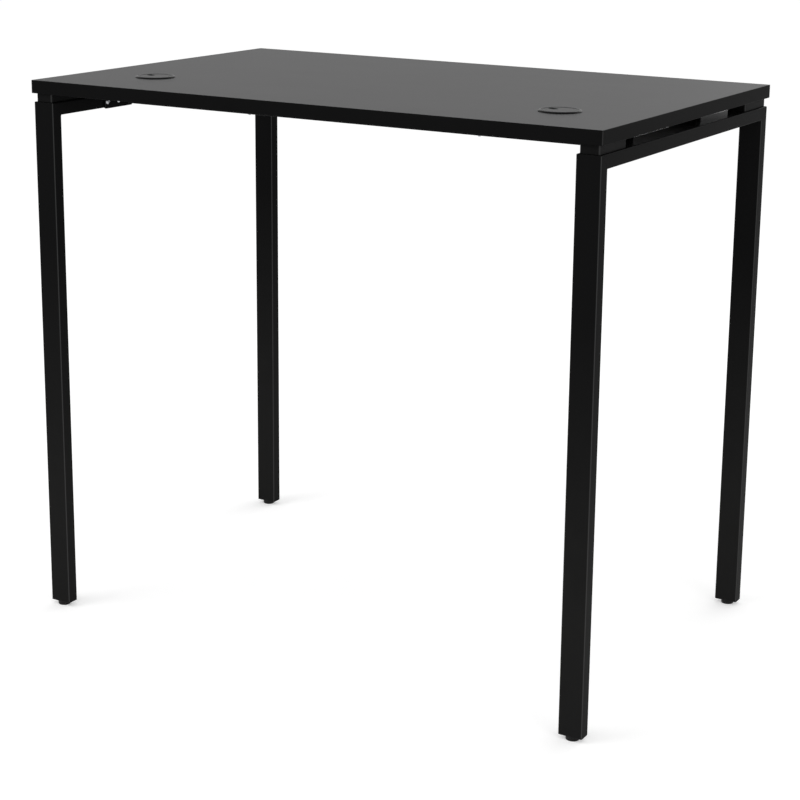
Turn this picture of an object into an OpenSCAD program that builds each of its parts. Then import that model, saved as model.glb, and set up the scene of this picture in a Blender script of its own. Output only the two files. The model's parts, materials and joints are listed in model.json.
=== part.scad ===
// Standing desk: a flat laminate top on two inverted-U end frames of rectangular tube.
// X runs along the long edge, -Y is the rear edge with the cable grommets, +Y is the user's side, +Z is up.
// The origin is on the floor, under the middle of the top.

/* [Desktop] */
// Length of the top along X
desk_length = 1200; // [1000:10:1800]
// Depth of the top along Y
desk_depth = 762; // [640:1:900]
// Height of the worktop above the floor with the feet screwed right in
desk_height = 1067; // [720:1:1200]
// Full thickness of the top
top_thickness = 25; // [24:0.5:32]
// Thickness of the laminate sheet on each face of the core
laminate_thickness = 0.8; // [0.5:0.1:1.2]
// Thickness of the edge band
band_thickness = 2; // [1:0.5:3]
// Radius of the top's upright corners
corner_radius = 3; // [1:0.5:3]
// Radius along the upper and lower edges of the band
edge_radius = 1; // [0.5:0.5:2]

/* [End frames] */
// Width of the frame tube, along X
tube_width = 46; // [40:1:60]
// Depth of the frame tube: the leg's along Y and the rail's along Z
tube_depth = 25; // [24:1:32]
// Wall of the frame tube
tube_wall = 1.5; // [1.2:0.1:2]
// Outside corner radius of the frame tube
tube_corner = 2.5; // [2.5:0.5:4]
// Distance from the end of the top to the frame
frame_inset_x = 3; // [0:1:30]
// Distance from the long edge of the top to the leg
frame_inset_y = 4; // [0:1:30]
// Size of the fillet weld inside the frame's corner
weld_size = 4; // [2:1:8]

/* [Spacer blocks] */
// Width of the block along X
spacer_width = 37; // [32:1:40]
// Length of the block along Y
spacer_length = 102; // [96:1:130]
// Height of the block, and of the gap between frame and top
spacer_height = 16.5; // [12:0.5:30]
// Distance that the block stands back from the leg's face
spacer_setback = 2.5; // [0:0.5:6]
// Wall of the moulded block
spacer_wall = 3; // [2:0.5:4]
// Thickness of the block's inner ribs
spacer_rib = 2; // [1.5:0.5:3]
// Radius of the block's upright corners
spacer_corner = 4; // [2:0.5:5]
// Diameter of the screw bosses in the block
boss_d = 13; // [11:0.5:16]
// Distance from the leg's inner face to the nearer screw of a block
spacer_screw_offset = 14; // [12:0.5:16]
// Distance between the two screws of a block
spacer_screw_pitch = 50; // [36:1:54]

/* [Crossbeams] */
// Distance from the long edge of the top to the beam's outer face
beam_inset = 219; // [204:1:240]
// Width of the beam tube along Y
beam_width = 20; // [18:1:30]
// Height of the beam tube
beam_height = 38; // [34:1:44]
// Wall of the beam tube
beam_wall = 1.5; // [1.2:0.1:2]
// Outside corner radius of the beam tube
beam_corner = 2.5; // [2.2:0.1:4]
// Thickness of the end plate
plate_thickness = 4; // [3:0.5:6]
// How far the end plate runs outward past the beam
plate_reach = 64; // [62:1:72]
// How far the end plate hangs below the rail
plate_drop = 1.5; // [0:0.5:6]
// How far the end plate's upper edge stays below the rail's top
plate_lip = 1; // [0.5:0.5:3]
// Corner radius of the end plate
plate_corner = 4; // [2:0.5:8]
// Distance from the beam's outer face to the nearer plate bolt
plate_bolt_offset = 23; // [12:0.5:25]
// Distance between the two plate bolts
plate_bolt_pitch = 34; // [24:1:36]
// Number of wood screws that hold each beam to the top
beam_screw_count = 2; // [2:1:5]
// Distance from the beam's end to its first wood screw
beam_screw_inset = 295; // [80:5:400]

/* [Levelling feet] */
// Height of the foot's base
foot_height = 8; // [6:0.5:14]
// Diameter of the foot's base
foot_d = 25; // [18:1:28]
// Rounding of the base's lower edge
foot_round = 1; // [0.5:0.5:3]
// Thickness of the base under the stud
foot_floor = 2.5; // [1.5:0.5:4]
// Diameter of the threaded stud
stud_d = 8; // [6:1:10]
// Length of the stud above the base's floor
stud_length = 40; // [34:1:60]
// Chamfer at the stud's tip
stud_chamfer = 1; // [0.5:0.5:1.5]

/* [Leg plugs] */
// Thickness of the plug's flange under the tube's end
plug_flange = 1.5; // [1:0.5:3]
// Height of the plug's body inside the tube
plug_height = 28; // [20:1:30]
// Wall of the plug's body
plug_wall = 2; // [1.5:0.5:3]
// Diameter of the plug's threaded boss
plug_boss_d = 14; // [13:0.5:16]
// Width of the plug's crush ribs
plug_rib = 1.5; // [1:0.5:3]

/* [Cable grommets] */
// Distance from the end of the top to the grommet's centre
grommet_inset_x = 163; // [120:1:200]
// Distance from the rear edge of the top to the grommet's centre
grommet_inset_y = 175; // [140:1:176]
// Diameter of the hole in the top
grommet_hole_d = 64; // [60:1:66]
// How far the sleeve's flange reaches past the hole
flange_overhang = 6.5; // [5:0.5:12]
// Width of the flange's rim outside the cap
flange_rim = 5.2; // [3.2:0.1:5.4]
// Height of the flange above the worktop
flange_height = 3; // [2.5:0.5:5]
// Height of the flange's upright outer wall, below its dome
flange_edge = 1; // [0.6:0.1:1.5]
// Width of the flat crest at the flange's inner side
flange_crest = 1; // [0.5:0.1:1.5]
// Height of the ledge that carries the cap
ledge_height = 0.8; // [0.6:0.1:1.2]
// Wall of the sleeve
sleeve_wall = 1.8; // [1.4:0.1:2.4]
// Depth of the sleeve below the worktop
sleeve_depth = 20; // [14:1:23]
// Width of the snap slots in the sleeve's lower part
sleeve_slot = 3; // [2:0.5:5]
// Height of the snap slots
sleeve_slot_height = 11; // [6:1:12]
// Depth of the cap's skirt below its plate
cap_skirt = 6; // [4:1:10]
// Depth of the shallow dish in the cap's face
cap_dish = 0.5; // [0.3:0.1:0.8]
// Width of the raised rim round the dish
cap_rim = 2.5; // [1.5:0.5:4]
// Width of the cable slot
slot_width = 12; // [8:1:14]
// Length of the cable slot along the cap's radius
slot_length = 20; // [18:1:22]
// Distance from the cap's skirt to the slot's end
slot_margin = 0.6; // [0.4:0.1:4]
// Direction that the slot points in, seen from above
slot_angle = 158; // [0:1:359]

/* [Fasteners] */
// Diameter of the spacer screws
spacer_screw_d = 6; // [5:0.5:6]
// How far the spacer screws reach into the top
spacer_screw_bite = 16; // [10:1:18]
// Diameter of the beam's wood screws
beam_screw_d = 4.5; // [3.5:0.5:5]
// How far the wood screws reach into the top
beam_screw_bite = 14; // [10:1:18]
// Diameter of the plate bolts
bolt_d = 6; // [5:1:6]
// Thickness of the weld nuts
nut_height = 5; // [4:0.5:6]
// Width of the weld nuts across their flats
nut_flats = 10; // [9:0.5:11]
// How far a plate bolt stands out of its nut
bolt_tip = 2; // [0.5:0.5:4]
// Diameter of a screw or bolt head, as a share of the shank
head_ratio = 1.8; // [1.6:0.1:1.8]

/* [Hidden] */
// Play between a shank and the hole that it passes through
shank_clearance = 0.3;
// Play between a screw and the thread that holds it
thread_clearance = 0.05;
// Play between the sleeve's crush ribs and the hole
rib_clearance = 0.1;
// Play between the levelling stud and its thread
stud_clearance = 0.08;
// Play between the plug's body and the tube
plug_clearance = 0.4;
// Play round the grommet's sleeve and its cap
grommet_clearance = 0.3;
// Wall of the cap's skirt
skirt_wall = 1.5;
// Rounding of the cap's outer edge
cap_edge = 0.8;
// Height of a head, as a share of its width
head_height_ratio = 0.32;
// Width of the hexagon socket across its corners, as a share of the shank
socket_ratio = 0.7;
// Overlap that keeps cuts and joins clean
overlap = 1;

$fn = 64;
LEFT = -1;
RIGHT = 1;
REAR = -1;
FRONT = 1;

underside_z = desk_height - top_thickness;
frame_top_z = underside_z - spacer_height;
rail_bottom_z = frame_top_z - tube_depth;
rail_middle_z = frame_top_z - tube_depth / 2;
leg_bottom_z = foot_height + plug_flange;
leg_height = frame_top_z - leg_bottom_z;

frame_x = desk_length / 2 - frame_inset_x - tube_width / 2;
frame_y = desk_depth / 2 - frame_inset_y;
leg_y = frame_y - tube_depth / 2;
rail_inner_x = frame_x - tube_width / 2;
spacer_y = frame_y - spacer_setback - spacer_length / 2;
outer_screw_y = frame_y - tube_depth - spacer_screw_offset;

beam_y = desk_depth / 2 - beam_inset - beam_width / 2;
beam_length = 2 * (rail_inner_x - plate_thickness);
plate_inner_y = beam_y - beam_width / 2;
plate_outer_y = beam_y + beam_width / 2 + plate_reach;
plate_bottom_z = rail_bottom_z - plate_drop;
plate_top_z = frame_top_z - plate_lip;
first_bolt_y = beam_y + beam_width / 2 + plate_bolt_offset;

tube_inner_width = tube_width - 2 * tube_wall;
tube_inner_depth = tube_depth - 2 * tube_wall;
tube_inner_corner = tube_corner - tube_wall;

grommet_x = desk_length / 2 - grommet_inset_x;
grommet_y = grommet_inset_y - desk_depth / 2;
sleeve_outer_r = grommet_hole_d / 2 - grommet_clearance;
sleeve_inner_r = sleeve_outer_r - sleeve_wall;
flange_r = grommet_hole_d / 2 + flange_overhang;
recess_r = flange_r - flange_rim;
flange_fall = flange_height - flange_edge;
flange_slope = flange_rim - flange_crest;
flange_dome_r = (flange_slope * flange_slope + flange_fall * flange_fall) / (2 * flange_fall);
cap_r = recess_r - grommet_clearance;
skirt_r = sleeve_inner_r - grommet_clearance;
cap_plate = flange_height - ledge_height - cap_dish;
slot_middle_r = skirt_r - skirt_wall - slot_margin - slot_length / 2;

// A rectangle with round corners, its middle at the origin.
module rounded_rect(width, depth, radius) {
    square([width - 2 * radius, depth], center = true);
    square([width, depth - 2 * radius], center = true);
    for (x = [-1, 1], y = [-1, 1])
        translate([x * (width / 2 - radius), y * (depth / 2 - radius)])
            circle(r = radius);
}

// The children as they are on the right, or mirrored for the left.
module on_side(side) {
    mirror([side == RIGHT ? 0 : 1, 0, 0]) children();
}

// The children as they are at the front, or mirrored for the rear.
module at_edge(edge) {
    mirror([0, edge == FRONT ? 0 : 1, 0]) children();
}

// A flat outline in Y and Z, run along X with its middle at X = 0.
module along_x(length) {
    rotate([90, 0, 90]) linear_extrude(height = length, center = true) children();
}

// A flat outline in X and Z, run along Y with its middle at Y = 0.
module along_y(length) {
    rotate([90, 0, 0]) linear_extrude(height = length, center = true) children();
}

// The whole top as one block with round corners and round edges.
module desktop_block() {
    intersection() {
        translate([0, 0, underside_z])
            linear_extrude(height = top_thickness)
                rounded_rect(desk_length, desk_depth, corner_radius);
        translate([0, 0, underside_z + top_thickness / 2])
            along_x(desk_length) rounded_rect(desk_depth, top_thickness, edge_radius);
        translate([0, 0, underside_z + top_thickness / 2])
            along_y(desk_depth) rounded_rect(desk_length, top_thickness, edge_radius);
    }
}

// A sheet as large as the core, with the two grommet holes.
module sheet(bottom_z, thickness) {
    difference() {
        translate([0, 0, bottom_z + thickness / 2])
            cube([desk_length - 2 * band_thickness, desk_depth - 2 * band_thickness, thickness], center = true);
        for (side = [LEFT, RIGHT])
            translate([side * grommet_x, grommet_y, bottom_z - overlap])
                cylinder(d = grommet_hole_d, h = thickness + 2 * overlap);
    }
}

// Places of the spacer screws, two to a block.
module at_spacer_screws() {
    for (side = [LEFT, RIGHT], edge = [REAR, FRONT], step = [0, 1])
        translate([side * frame_x, edge * (outer_screw_y - step * spacer_screw_pitch), 0])
            children();
}

// Places of the wood screws that hold the beams to the top.
module at_beam_screws() {
    span = beam_length - 2 * beam_screw_inset;
    for (edge = [REAR, FRONT], i = [0 : beam_screw_count - 1])
        translate([i * span / (beam_screw_count - 1) - span / 2, edge * beam_y, 0])
            children();
}

// Pilot holes that the screws cut in the top.
module pilot_holes() {
    at_spacer_screws()
        translate([0, 0, underside_z - overlap])
            cylinder(d = spacer_screw_d + 2 * thread_clearance, h = spacer_screw_bite + overlap);
    at_beam_screws()
        translate([0, 0, underside_z - overlap])
            cylinder(d = beam_screw_d + 2 * thread_clearance, h = beam_screw_bite + overlap);
}

module desktop_core() {
    color([0.62, 0.5, 0.36])
        difference() {
            sheet(underside_z + laminate_thickness, top_thickness - 2 * laminate_thickness);
            pilot_holes();
        }
}

module top_laminate() {
    color([0.1, 0.1, 0.105]) sheet(desk_height - laminate_thickness, laminate_thickness);
}

module bottom_laminate() {
    color([0.08, 0.08, 0.085])
        difference() {
            sheet(underside_z, laminate_thickness);
            pilot_holes();
        }
}

// The band along a long edge, with the round corners at its ends.
module long_edge_band(edge) {
    color([0.06, 0.06, 0.065])
        intersection() {
            desktop_block();
            translate([0, edge * (desk_depth / 2 - band_thickness / 2), underside_z + top_thickness / 2])
                cube([desk_length, band_thickness, top_thickness], center = true);
        }
}

// The band along a short edge, between the two long bands.
module short_edge_band(side) {
    color([0.06, 0.06, 0.065])
        intersection() {
            desktop_block();
            translate([side * (desk_length / 2 - band_thickness / 2), 0, underside_z + top_thickness / 2])
                cube([band_thickness, desk_depth - 2 * band_thickness, top_thickness], center = true);
        }
}

module tube_section() {
    difference() {
        rounded_rect(tube_width, tube_depth, tube_corner);
        rounded_rect(tube_inner_width, tube_inner_depth, tube_inner_corner);
    }
}

// One side of the mitre plane at a frame corner, as an outline in Y and Z with the
// frame's outer top corner at the origin. It lies above the plane, or below it.
module mitre_half(above) {
    reach = tube_depth + overlap;
    polygon([
        [overlap, overlap],
        [-reach, -reach],
        above ? [-reach, overlap] : [overlap, -reach]
    ]);
}

module leg(side, edge) {
    color([0.05, 0.05, 0.055])
        on_side(side) at_edge(edge)
            translate([frame_x, 0, 0])
                difference() {
                    translate([0, leg_y, leg_bottom_z])
                        linear_extrude(height = leg_height) tube_section();
                    translate([0, frame_y, frame_top_z])
                        along_x(tube_width + 2 * overlap) mitre_half(above = true);
                }
}

// The concave weld in the corner between a leg and the rail.
module corner_weld() {
    translate([0, frame_y - tube_depth, rail_bottom_z])
        along_x(tube_width - 2 * tube_corner)
            difference() {
                translate([-weld_size, -weld_size])
                    square([weld_size, weld_size + tube_wall / 2]);
                translate([-weld_size, -weld_size])
                    circle(r = weld_size);
            }
}

// Places of the plate bolts on the inner wall of the right rail, along the bolt's axis.
module at_plate_bolts() {
    for (edge = [REAR, FRONT], step = [0, 1])
        translate([rail_inner_x, edge * (first_bolt_y + step * plate_bolt_pitch), rail_middle_z])
            rotate([0, 90, 0])
                children();
}

module top_rail(side) {
    screw_hole = spacer_screw_d + 2 * shank_clearance;
    bolt_hole = bolt_d + 2 * shank_clearance;
    color([0.05, 0.05, 0.055])
        on_side(side)
            difference() {
                translate([frame_x, 0, 0]) {
                    difference() {
                        translate([0, 0, rail_middle_z]) along_y(2 * frame_y) tube_section();
                        for (edge = [REAR, FRONT])
                            at_edge(edge)
                                translate([0, frame_y, frame_top_z])
                                    along_x(tube_width + 2 * overlap) mitre_half(above = false);
                    }
                    for (edge = [REAR, FRONT])
                        at_edge(edge) corner_weld();
                }
                at_spacer_screws()
                    translate([0, 0, rail_bottom_z - overlap])
                        cylinder(d = screw_hole, h = tube_depth + 2 * overlap);
                at_plate_bolts()
                    translate([0, 0, -overlap])
                        cylinder(d = bolt_hole, h = tube_wall + 2 * overlap);
            }
}

// A moulded block, open below, with two screw bosses and ribs along and across.
module spacer(side, edge) {
    cavity_height = spacer_height - spacer_wall;
    cavity_width = spacer_width - 2 * spacer_wall;
    cavity_length = spacer_length - 2 * spacer_wall;
    cavity_corner = spacer_corner / 4;
    rib_height = spacer_height - spacer_wall / 2;
    outer_boss_y = outer_screw_y - spacer_y;
    boss_places = [outer_boss_y, outer_boss_y - spacer_screw_pitch];
    color([0.13, 0.13, 0.135])
        on_side(side) at_edge(edge)
            translate([frame_x, spacer_y, frame_top_z])
                difference() {
                    union() {
                        difference() {
                            linear_extrude(height = spacer_height)
                                rounded_rect(spacer_width, spacer_length, spacer_corner);
                            translate([0, 0, -overlap])
                                linear_extrude(height = cavity_height + overlap)
                                    rounded_rect(cavity_width, cavity_length, cavity_corner);
                        }
                        for (y = boss_places)
                            translate([0, y, 0])
                                cylinder(d = boss_d, h = rib_height);
                        translate([0, 0, rib_height / 2])
                            cube([spacer_rib, spacer_length - spacer_wall, rib_height], center = true);
                        for (y = [boss_places[0], (boss_places[0] + boss_places[1]) / 2, boss_places[1]])
                            translate([0, y, rib_height / 2])
                                cube([spacer_width - spacer_wall, spacer_rib, rib_height], center = true);
                    }
                    for (y = boss_places)
                        translate([0, y, -overlap])
                            cylinder(d = spacer_screw_d + 2 * shank_clearance, h = spacer_height + 2 * overlap);
                }
}

// A rectangular tube with closed ends that lies under the top.
module crossbeam(edge) {
    hole_d = beam_screw_d + 2 * shank_clearance;
    color([0.05, 0.05, 0.055])
        difference() {
            translate([0, edge * beam_y, underside_z - beam_height / 2])
                difference() {
                    along_x(beam_length) rounded_rect(beam_width, beam_height, beam_corner);
                    along_x(beam_length - 2 * beam_wall)
                        rounded_rect(beam_width - 2 * beam_wall, beam_height - 2 * beam_wall,
                                     beam_corner - beam_wall);
                }
            at_beam_screws()
                translate([0, 0, underside_z - beam_height - overlap])
                    cylinder(d = hole_d, h = beam_height + 2 * overlap);
        }
}

// The plate that carries a beam's end, with two bolts to the rail beside the beam.
module end_plate(side, edge) {
    length = plate_outer_y - plate_inner_y;
    height = plate_top_z - plate_bottom_z;
    color([0.05, 0.05, 0.055])
        on_side(side)
            difference() {
                translate([rail_inner_x - plate_thickness / 2,
                           edge * (plate_outer_y + plate_inner_y) / 2,
                           plate_bottom_z + height / 2])
                    along_x(plate_thickness) rounded_rect(length, height, plate_corner);
                at_plate_bolts()
                    translate([0, 0, -plate_thickness - overlap])
                        cylinder(d = bolt_d + 2 * shank_clearance, h = plate_thickness + 2 * overlap);
            }
}

// A ribbed plug in the leg's lower end, with pockets beside a threaded boss.
module leg_plug(side, edge) {
    body_width = tube_inner_width - 2 * plug_clearance;
    body_depth = tube_inner_depth - 2 * plug_clearance;
    pocket_width = body_width - 2 * plug_wall;
    pocket_depth = body_depth - 2 * plug_wall;
    color([0.08, 0.08, 0.08])
        on_side(side) at_edge(edge)
            translate([frame_x, leg_y, foot_height])
                difference() {
                    union() {
                        linear_extrude(height = plug_flange)
                            rounded_rect(tube_width, tube_depth, tube_corner);
                        linear_extrude(height = plug_flange + plug_height)
                            rounded_rect(body_width, body_depth, tube_inner_corner);
                        for (x = [-1, 1])
                            translate([x * body_width / 4, 0, (plug_flange + plug_height) / 2])
                                cube([plug_rib, tube_inner_depth, plug_flange + plug_height], center = true);
                        translate([0, 0, (plug_flange + plug_height) / 2])
                            cube([tube_inner_width, plug_rib, plug_flange + plug_height], center = true);
                    }
                    translate([0, 0, plug_flange + plug_wall])
                        linear_extrude(height = plug_height)
                            difference() {
                                square([pocket_width, pocket_depth], center = true);
                                circle(d = plug_boss_d);
                                square([plug_wall, pocket_depth + overlap], center = true);
                            }
                    translate([0, 0, -overlap])
                        cylinder(d = stud_d + 2 * stud_clearance, h = plug_flange + plug_height + 2 * overlap);
                }
}

module foot_base(side, edge) {
    color([0.07, 0.07, 0.07])
        on_side(side) at_edge(edge)
            translate([frame_x, leg_y, 0])
                difference() {
                    rotate_extrude() {
                        translate([0, foot_round]) square([foot_d / 2, foot_height - foot_round]);
                        square([foot_d / 2 - foot_round, foot_height]);
                        translate([foot_d / 2 - foot_round, foot_round]) circle(r = foot_round);
                    }
                    translate([0, 0, foot_floor])
                        cylinder(d = stud_d + 2 * thread_clearance, h = foot_height);
                }
}

module foot_stud(side, edge) {
    color([0.75, 0.75, 0.77])
        on_side(side) at_edge(edge)
            translate([frame_x, leg_y, foot_floor]) {
                cylinder(d = stud_d, h = stud_length - stud_chamfer);
                translate([0, 0, stud_length - stud_chamfer])
                    cylinder(d1 = stud_d, d2 = stud_d - 2 * stud_chamfer, h = stud_chamfer);
            }
}

// The fixed part of a grommet: domed flange, ledge for the cap, and a slotted tube that snaps into the top.
module grommet_sleeve(side) {
    color([0.06, 0.06, 0.06])
        translate([side * grommet_x, grommet_y, desk_height])
            difference() {
                union() {
                    rotate_extrude() {
                        translate([sleeve_inner_r, -sleeve_depth])
                            square([sleeve_wall, sleeve_depth + ledge_height]);
                        translate([sleeve_inner_r, 0])
                            square([flange_r - sleeve_inner_r, ledge_height]);
                        translate([recess_r, 0])
                            square([flange_crest, flange_height]);
                        translate([recess_r, 0])
                            square([flange_rim, flange_edge]);
                        intersection() {
                            translate([recess_r + flange_crest, flange_height - flange_dome_r])
                                circle(r = flange_dome_r);
                            translate([recess_r, 0])
                                square([flange_rim, flange_height]);
                        }
                    }
                    snap_ribs();
                }
                for (turn = [0, 90])
                    rotate([0, 0, turn])
                        translate([0, 0, sleeve_slot_height / 2 - sleeve_depth - overlap])
                            cube([grommet_hole_d + overlap, sleeve_slot, sleeve_slot_height + overlap],
                                 center = true);
            }
}

// Crush ribs below the laminate that close the play between the sleeve and its hole.
module snap_ribs() {
    rib_width = 1.6;
    rib_height = 6;
    rib_bottom = -laminate_thickness - rib_clearance - rib_height;
    intersection() {
        translate([0, 0, rib_bottom])
            cylinder(d = grommet_hole_d - 2 * rib_clearance, h = rib_height);
        for (turn = [22.5 : 45 : 360])
            rotate([0, 0, turn])
                translate([sleeve_outer_r - grommet_clearance, -rib_width / 2, rib_bottom])
                    cube([3 * grommet_clearance, rib_width, rib_height]);
    }
}

// The turning cap: a dished plate with a raised rim, a skirt and one cable slot.
module grommet_cap(side) {
    color([0.07, 0.07, 0.07])
        translate([side * grommet_x, grommet_y, desk_height + ledge_height])
            rotate([0, 0, slot_angle])
                difference() {
                    rotate_extrude() {
                        square([cap_r - cap_rim, cap_plate]);
                        translate([cap_r - cap_rim - cap_edge, 0])
                            square([cap_rim, cap_plate + cap_dish]);
                        translate([cap_r - cap_edge - cap_rim / 2, 0])
                            square([cap_edge + cap_rim / 2, cap_plate + cap_dish - cap_edge]);
                        translate([cap_r - cap_edge, cap_plate + cap_dish - cap_edge])
                            circle(r = cap_edge);
                        translate([skirt_r - skirt_wall, -cap_skirt])
                            square([skirt_wall, cap_skirt + cap_plate / 2]);
                    }
                    translate([slot_middle_r, 0, -cap_skirt])
                        linear_extrude(height = cap_skirt + flange_height + overlap)
                            rounded_slot();
                }
}

// The outline of the cable slot, its middle at the origin.
module rounded_slot() {
    straight = slot_length - slot_width;
    square([straight, slot_width], center = true);
    for (x = [-1, 1])
        translate([x * straight / 2, 0]) circle(d = slot_width);
}

// A low domed head of the given shank, standing on z = 0 and pointing down.
module domed_head(shank_d) {
    head_d = head_ratio * shank_d;
    head_h = head_height_ratio * head_d;
    dome_r = (head_d * head_d / 4 + head_h * head_h) / (2 * head_h);
    difference() {
        intersection() {
            translate([0, 0, -head_h]) cylinder(d = head_d, h = head_h);
            translate([0, 0, dome_r - head_h]) sphere(r = dome_r);
        }
        translate([0, 0, -head_h - overlap])
            cylinder(d = socket_ratio * shank_d, h = overlap + head_h / 2, $fn = 6);
    }
}

// Hexagon nuts welded inside the rails.
module rail_weld_nuts() {
    color([0.6, 0.6, 0.62])
        for (side = [LEFT, RIGHT])
            on_side(side)
                at_plate_bolts()
                    translate([0, 0, tube_wall])
                        difference() {
                            rotate([0, 0, 30])
                                cylinder(d = nut_flats / cos(30), h = nut_height, $fn = 6);
                            translate([0, 0, -overlap])
                                cylinder(d = bolt_d + 2 * thread_clearance, h = nut_height + 2 * overlap);
                        }
}

module plate_bolts() {
    shank = plate_thickness + tube_wall + nut_height + bolt_tip;
    color([0.75, 0.75, 0.77])
        for (side = [LEFT, RIGHT])
            on_side(side)
                at_plate_bolts()
                    translate([0, 0, -plate_thickness]) {
                        domed_head(bolt_d);
                        cylinder(d = bolt_d, h = shank);
                    }
}

module spacer_screws() {
    color([0.75, 0.75, 0.77])
        at_spacer_screws()
            translate([0, 0, rail_bottom_z]) {
                domed_head(spacer_screw_d);
                cylinder(d = spacer_screw_d, h = tube_depth + spacer_height + spacer_screw_bite);
            }
}

module beam_screws() {
    color([0.75, 0.75, 0.77])
        at_beam_screws()
            translate([0, 0, underside_z - beam_height]) {
                domed_head(beam_screw_d);
                cylinder(d = beam_screw_d, h = beam_height + beam_screw_bite);
            }
}

desktop_core();
top_laminate();
bottom_laminate();
long_edge_band(REAR);  // rear_edge_band
long_edge_band(FRONT);  // front_edge_band
short_edge_band(LEFT);  // left_edge_band
short_edge_band(RIGHT);  // right_edge_band
leg(LEFT, REAR);  // left_rear_leg
leg(LEFT, FRONT);  // left_front_leg
top_rail(LEFT);  // left_top_rail
leg(RIGHT, REAR);  // right_rear_leg
leg(RIGHT, FRONT);  // right_front_leg
top_rail(RIGHT);  // right_top_rail
spacer(LEFT, REAR);  // left_rear_spacer
spacer(LEFT, FRONT);  // left_front_spacer
spacer(RIGHT, REAR);  // right_rear_spacer
spacer(RIGHT, FRONT);  // right_front_spacer
crossbeam(REAR);  // rear_crossbeam
crossbeam(FRONT);  // front_crossbeam
end_plate(LEFT, REAR);  // left_rear_end_plate
end_plate(LEFT, FRONT);  // left_front_end_plate
end_plate(RIGHT, REAR);  // right_rear_end_plate
end_plate(RIGHT, FRONT);  // right_front_end_plate
leg_plug(LEFT, REAR);  // left_rear_leg_plug
leg_plug(LEFT, FRONT);  // left_front_leg_plug
leg_plug(RIGHT, REAR);  // right_rear_leg_plug
leg_plug(RIGHT, FRONT);  // right_front_leg_plug
foot_base(LEFT, REAR);  // left_rear_foot_base
foot_base(LEFT, FRONT);  // left_front_foot_base
foot_base(RIGHT, REAR);  // right_rear_foot_base
foot_base(RIGHT, FRONT);  // right_front_foot_base
foot_stud(LEFT, REAR);  // left_rear_foot_stud
foot_stud(LEFT, FRONT);  // left_front_foot_stud
foot_stud(RIGHT, REAR);  // right_rear_foot_stud
foot_stud(RIGHT, FRONT);  // right_front_foot_stud
grommet_sleeve(LEFT);  // left_grommet_sleeve
grommet_sleeve(RIGHT);  // right_grommet_sleeve
grommet_cap(LEFT);  // left_grommet_cap
grommet_cap(RIGHT);  // right_grommet_cap
rail_weld_nuts();
plate_bolts();
spacer_screws();
beam_screws();
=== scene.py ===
"""Standing desk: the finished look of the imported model.

The desk's sizes are in millimetres, and each piece is scaled to metres when it is placed. The
studio's sizes are in metres. X runs along the long edge, -Y is the rear edge with the cable
grommets, and the floor is at Z = 0.
"""

import json
import logging
import math
from dataclasses import dataclass, field
from enum import Enum
from functools import cache
from itertools import product
from typing import Callable, Iterable, Mapping, Optional, Sequence, Union

import bmesh
import bpy
from mathutils import Matrix, Vector

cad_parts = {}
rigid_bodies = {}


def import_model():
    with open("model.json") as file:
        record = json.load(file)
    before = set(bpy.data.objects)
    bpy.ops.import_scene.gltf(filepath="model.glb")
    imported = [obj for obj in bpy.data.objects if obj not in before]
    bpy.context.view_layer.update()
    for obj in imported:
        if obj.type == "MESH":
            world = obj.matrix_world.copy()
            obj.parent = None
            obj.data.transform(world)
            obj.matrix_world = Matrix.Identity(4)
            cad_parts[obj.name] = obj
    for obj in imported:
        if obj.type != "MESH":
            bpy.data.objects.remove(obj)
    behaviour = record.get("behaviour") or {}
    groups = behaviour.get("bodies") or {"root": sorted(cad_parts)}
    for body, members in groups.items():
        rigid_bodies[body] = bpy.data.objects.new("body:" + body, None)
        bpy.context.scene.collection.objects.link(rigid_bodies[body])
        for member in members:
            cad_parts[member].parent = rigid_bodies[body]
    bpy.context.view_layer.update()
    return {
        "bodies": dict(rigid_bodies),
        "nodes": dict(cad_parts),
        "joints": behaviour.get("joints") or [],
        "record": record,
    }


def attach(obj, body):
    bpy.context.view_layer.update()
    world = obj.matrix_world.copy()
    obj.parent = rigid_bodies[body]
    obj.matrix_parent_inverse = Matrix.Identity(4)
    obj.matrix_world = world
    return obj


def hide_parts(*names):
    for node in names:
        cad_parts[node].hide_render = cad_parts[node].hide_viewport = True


LOG = logging.getLogger("standing_desk")
MM = 0.001  # in metres
TINY = 1e-5  # in millimetres, as the next
CLOSE = 1e-4
PARALLEL = 0.999  # a cosine, as the next
UPWARDS = 0.9
CORNER_FACES = 6
RIM_FACES = 2
SHARP_ANGLE = math.radians(32)
NOISE_BAND = (0.3, 0.7)  # where most of a noise's values lie

Place = tuple[float, float, float]
Point = tuple[float, float]
Rgb = tuple[float, float, float]
Outline = Callable[[float], Point]
BMesh = bmesh.types.BMesh
BMEdge = bmesh.types.BMEdge
BMVert = bmesh.types.BMVert
Material = bpy.types.Material
Node = bpy.types.Node
Tree = bpy.types.NodeTree
Socket = bpy.types.NodeSocket
Sockets = Mapping[str, Socket]
Amount = Union[float, Socket]


class Named(Enum):
    """A choice whose name, in small letters, is a part of node names."""

    @property
    def word(self) -> str:
        """The name in small letters."""
        return self.name.lower()


class Side(Named):
    """The two ends of the desk, by the sign of X."""

    LEFT = -1
    RIGHT = 1


class Edge(Named):
    """The two long edges of the desk, by the sign of Y."""

    REAR = -1
    FRONT = 1


class Axis(Enum):
    """The three axes of the frame."""

    X = 0
    Y = 1
    Z = 2

    @property
    def vector(self) -> Vector:
        """The unit vector along the axis."""
        return Vector([1.0 if i == self.value else 0.0 for i in range(3)])


# Nodes


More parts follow.
